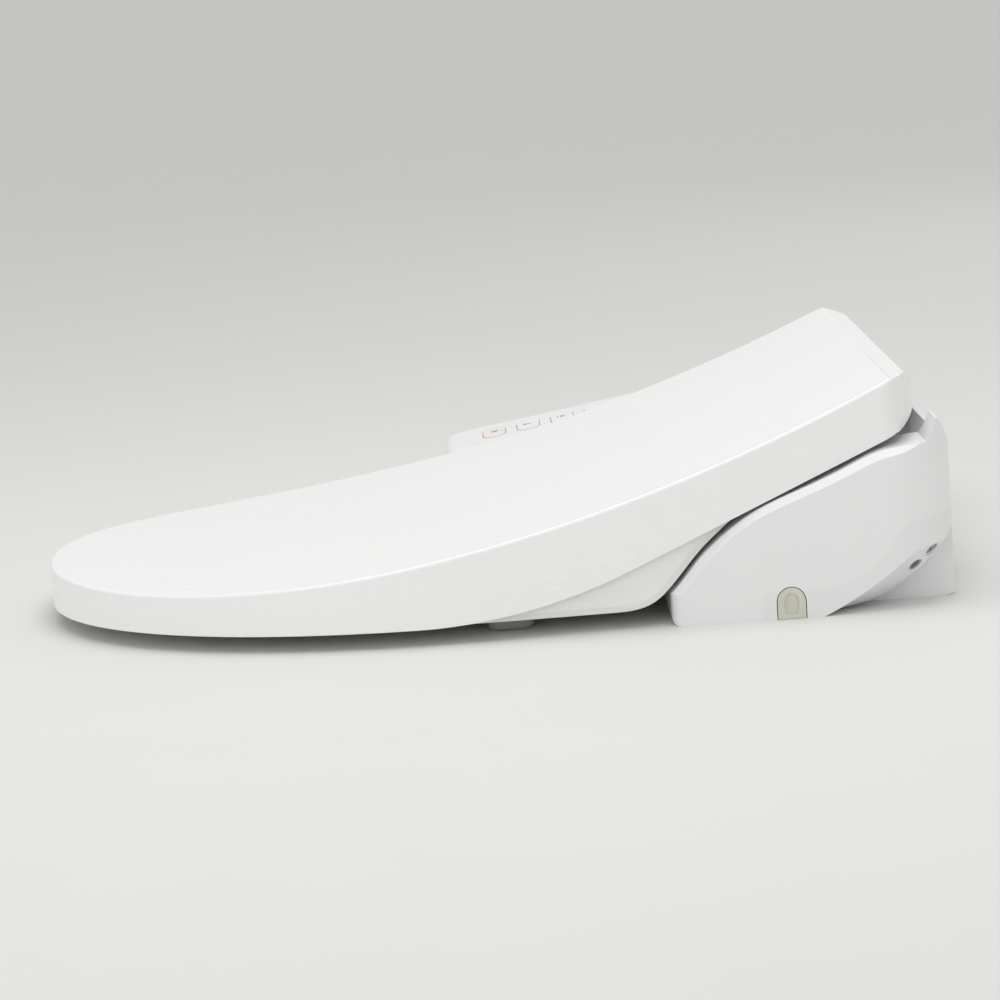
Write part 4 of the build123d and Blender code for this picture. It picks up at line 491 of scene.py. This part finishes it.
# Lamps behind the smoked window, showing as pale dots just through its face.
LAMPS = 4
LAMP_PITCH = 9 * MM
LAMP_SIZE = (2.4 * MM, 1.2 * MM, 0.16 * MM)
first_lamp = face_middle("indicator_window", KEY_UP) - Vector(((LAMPS - 1) / 2 * LAMP_PITCH, 0, 0))
lamps = repeated("lamp_row", LAMPS, (LAMP_PITCH, 0, 0), tuple(first_lamp), LAMP_SIZE, (ARM_SLOPE, 0, 0),
                 lamp_green)
finish_piece("indicator_lamps", lamps, lamp_green, "base")

# Gripping ribs across the mounting plate, in front of each slot and behind it.
BOLT_X = 0.070                         # from the middle to each fixing bolt
RIBS = 9
RIB_PITCH = 3 * MM
RIB_ROW_HALF = 12 * MM
RIBS_FROM_BOLTS = 0.024
RIB_SIZE = (1.0 * MM, 9 * MM, 0.9 * MM)
plate_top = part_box("mounting_plate")[1][2]
for side, across in (("left", BOLT_X), ("right", -BOLT_X)):
    for end, along in (("front", -RIBS_FROM_BOLTS), ("rear", RIBS_FROM_BOLTS)):
        ribs = repeated("plate_ribs", RIBS, (RIB_PITCH, 0, 0), (across - RIB_ROW_HALF, along, plate_top),
                        RIB_SIZE, (0, 0, 0), filled_nylon)
        finish_piece(f"plate_ribs_{side}_{end}", ribs, filled_nylon, "mounting_plate")


# ---------------------------------------------------------------- water inlet: hexagon and rolled thread

def lathe(rings, steps):
    """Mesh of stacked rings; each ring is a list of points, and the last ring closes on the first."""
    built = bmesh.new()
    rows = [[built.verts.new(p) for p in ring] for ring in rings]
    rows.append(rows[0])
    for row, after in zip(rows, rows[1:]):
        for i in range(steps):
            j = (i + 1) % steps
            built.faces.new((row[i], row[j], after[j], after[i]))
    bmesh.ops.recalc_face_normals(built, faces=built.faces)
    mesh = bpy.data.meshes.new("lathe")
    built.to_mesh(mesh)
    built.free()
    return mesh


inlet_low, inlet_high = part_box("inlet_connector")
inlet_x = (inlet_low[0] + inlet_high[0]) / 2
inlet_z = (inlet_low[2] + inlet_high[2]) / 2
BORE_R = 7.2 * MM
ROOT_R = 9.0 * MM
CREST_R = 10.4 * MM
THREAD_DEPTH = 1.1 * MM
THREAD_PITCH = 1.81 * MM
THREAD_LENGTH = 12 * MM
THREAD_CUT = 0.9                       # share of the depth that a rolled thread fills
LEAD_IN_DROP = 0.4 * MM                # how far the crests are cut back at both ends
THREAD_STEPS = 60
FLANGE = 4 * MM
HEX_R = 14 * MM
HEX_CHAMFER = 0.5 * MM
BORE_CHAMFER = 0.6 * MM
AROUND = 72


def inlet_ring(y, radius_at):
    """One ring of the inlet, with its radius given by the angle."""
    turns = [2 * math.pi * i / AROUND for i in range(AROUND)]
    return [(inlet_x + radius_at(t) * math.cos(t), y, inlet_z + radius_at(t) * math.sin(t)) for t in turns]


def hexagon(turn, size):
    """Radius of a hexagon's outline at this angle, from its corner radius."""
    sector = (turn + math.pi / 6) % (math.pi / 3) - math.pi / 6
    return size * math.cos(math.pi / 6) / math.cos(sector - math.copysign(math.pi / 6, sector))


def thread(turn, y):
    """Radius of a rolled thread, with rounded crests and roots."""
    phase = (y / THREAD_PITCH - turn / (2 * math.pi)) % 1.0
    lead_in = min(1.0, (THREAD_LENGTH - y) / THREAD_PITCH, y / THREAD_PITCH + 0.4)
    cut = THREAD_DEPTH * (0.5 + 0.5 * math.cos(2 * math.pi * phase)) * THREAD_CUT
    return CREST_R - cut - (1 - lead_in) * LEAD_IN_DROP


inlet_rear = inlet_high[1]
thread_start = inlet_rear - THREAD_LENGTH
flange_front = thread_start - FLANGE
rings = [inlet_ring(inlet_low[1], lambda t: BORE_R), inlet_ring(inlet_low[1], lambda t: ROOT_R),
         inlet_ring(flange_front, lambda t: ROOT_R),
         inlet_ring(flange_front, lambda t: hexagon(t, HEX_R) - HEX_CHAMFER),
         inlet_ring(flange_front + HEX_CHAMFER, lambda t: hexagon(t, HEX_R)),
         inlet_ring(thread_start - HEX_CHAMFER, lambda t: hexagon(t, HEX_R)),
         inlet_ring(thread_start, lambda t: hexagon(t, HEX_R) - HEX_CHAMFER)]
for step in range(THREAD_STEPS + 1):
    y = THREAD_LENGTH * step / THREAD_STEPS
    rings.append(inlet_ring(thread_start + y, lambda t: thread(t, y)))
rings.append(inlet_ring(inlet_rear, lambda t: BORE_R + BORE_CHAMFER))
rings.append(inlet_ring(inlet_rear - BORE_CHAMFER, lambda t: BORE_R))
threaded = finish_piece("inlet_thread", lathe(rings, AROUND), nickel, "base")
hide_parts("inlet_connector")


# ---------------------------------------------------------------- rims of the two ports in the sloping band

PORT_NORMAL = Vector((0.576, 0.49, -0.654)).normalized()      # square to the sloping band
# Each ring of a rim: its radius and its height above the port's face, in millimetres.
RIM_PROFILE = ((4.3, -0.6), (4.3, 0.25), (4.5, 0.5), (4.95, 0.55), (5.35, 0.35), (5.5, -0.6))
RIM_STEPS = 48
rim_across = PORT_NORMAL.orthogonal().normalized()
rim_over = PORT_NORMAL.cross(rim_across)
for port_name, node in (("cord", "cord_gland"), ("drain", "drain_plug")):
    centre = face_middle(node, PORT_NORMAL)
    rim_rings = []
    for radius, height in RIM_PROFILE:
        turns = [2 * math.pi * i / RIM_STEPS for i in range(RIM_STEPS)]
        rim_rings.append([centre + PORT_NORMAL * (height * MM) + rim_across * (radius * MM * math.cos(turn))
                          + rim_over * (radius * MM * math.sin(turn)) for turn in turns])
    rim = lathe(rim_rings, RIM_STEPS)
    finish_piece("rim_" + port_name, rim, base_satin, "base")


# ---------------------------------------------------------------- camera, floor and light

def look(target, distance, pitch, yaw, roll, across, up_shift):
    """Camera matrix for a view of the target from this distance, turned by these angles and then shifted."""
    level = Vector((math.cos(yaw), math.sin(yaw), 0))
    right = Vector((-math.sin(yaw), math.cos(yaw), 0))
    back = math.cos(pitch) * level + math.sin(pitch) * Vector((0, 0, 1))
    up = -math.sin(pitch) * level + math.cos(pitch) * Vector((0, 0, 1))
    place = target + back * distance - right * across - up * up_shift
    camera_x = right * math.cos(roll) - up * math.sin(roll)
    camera_y = right * math.sin(roll) + up * math.cos(roll)
    turn = Matrix((camera_x, camera_y, back)).transposed()
    return Matrix.Translation(place) @ turn.to_4x4()


camera_data = bpy.data.cameras.new("camera")
camera_data.lens = 129.6
camera_data.sensor_width = 36.0
camera_data.clip_end = 60.0
camera = bpy.data.objects.new("camera", camera_data)
bpy.context.collection.objects.link(camera)
# The view was solved from the lid's outline in the photograph.
camera.matrix_world = look(target=Vector((0, -0.1898, 0.060)), distance=2.1527, pitch=0.168359, yaw=-0.011256,
                           roll=0.072141, across=0.010608, up_shift=0.012316)
bpy.context.scene.camera = camera

FLOOR_HALF = 45.0                      # large enough that its far edge is near the horizon
floor_z = cad_box[0][2]
floor_mesh = bpy.data.meshes.new("floor")
floor_mesh.from_pydata([(-FLOOR_HALF, -FLOOR_HALF, floor_z), (FLOOR_HALF, -FLOOR_HALF, floor_z),
                        (FLOOR_HALF, FLOOR_HALF, floor_z), (-FLOOR_HALF, FLOOR_HALF, floor_z)], [], [(0, 1, 2, 3)])
floor = bpy.data.objects.new("floor", floor_mesh)
bpy.context.collection.objects.link(floor)
floor_mesh.materials.append(moulded("matt_pale_floor", "E4E4E2", "E2E2E0", 1.45, 0.75, 40, 0.01, 2.0, 0.02))


def softbox(name, place, target, width, height, power):
    """A soft light panel turned to its target."""
    lamp = bpy.data.lights.new(name, "AREA")
    lamp.shape = "RECTANGLE"
    lamp.size = width
    lamp.size_y = height
    lamp.energy = power
    holder = bpy.data.objects.new(name, lamp)
    aim = (target - place).to_track_quat("-Z", "Y").to_matrix().to_4x4()
    holder.matrix_world = Matrix.Translation(place) @ aim
    bpy.context.collection.objects.link(holder)


seat_middle = Vector((0, -0.19, 0.05))
softbox("top_light", Vector((0.25, -0.25, 1.3)), seat_middle, 1.1, 1.1, 6.5)
softbox("side_light", Vector((1.9, -1.1, 0.9)), seat_middle, 1.2, 1.0, 3.0)
softbox("back_light", Vector((-1.8, 0.8, 1.2)), seat_middle, 1.2, 1.0, 2.0)

world = bpy.data.worlds.new("studio")
world.use_nodes = True
world.node_tree.nodes["Background"].inputs["Color"].default_value = srgb("F1F1F0")
world.node_tree.nodes["Background"].inputs["Strength"].default_value = 0.8
bpy.context.scene.world = world
bpy.context.scene.view_settings.view_transform = "Standard"
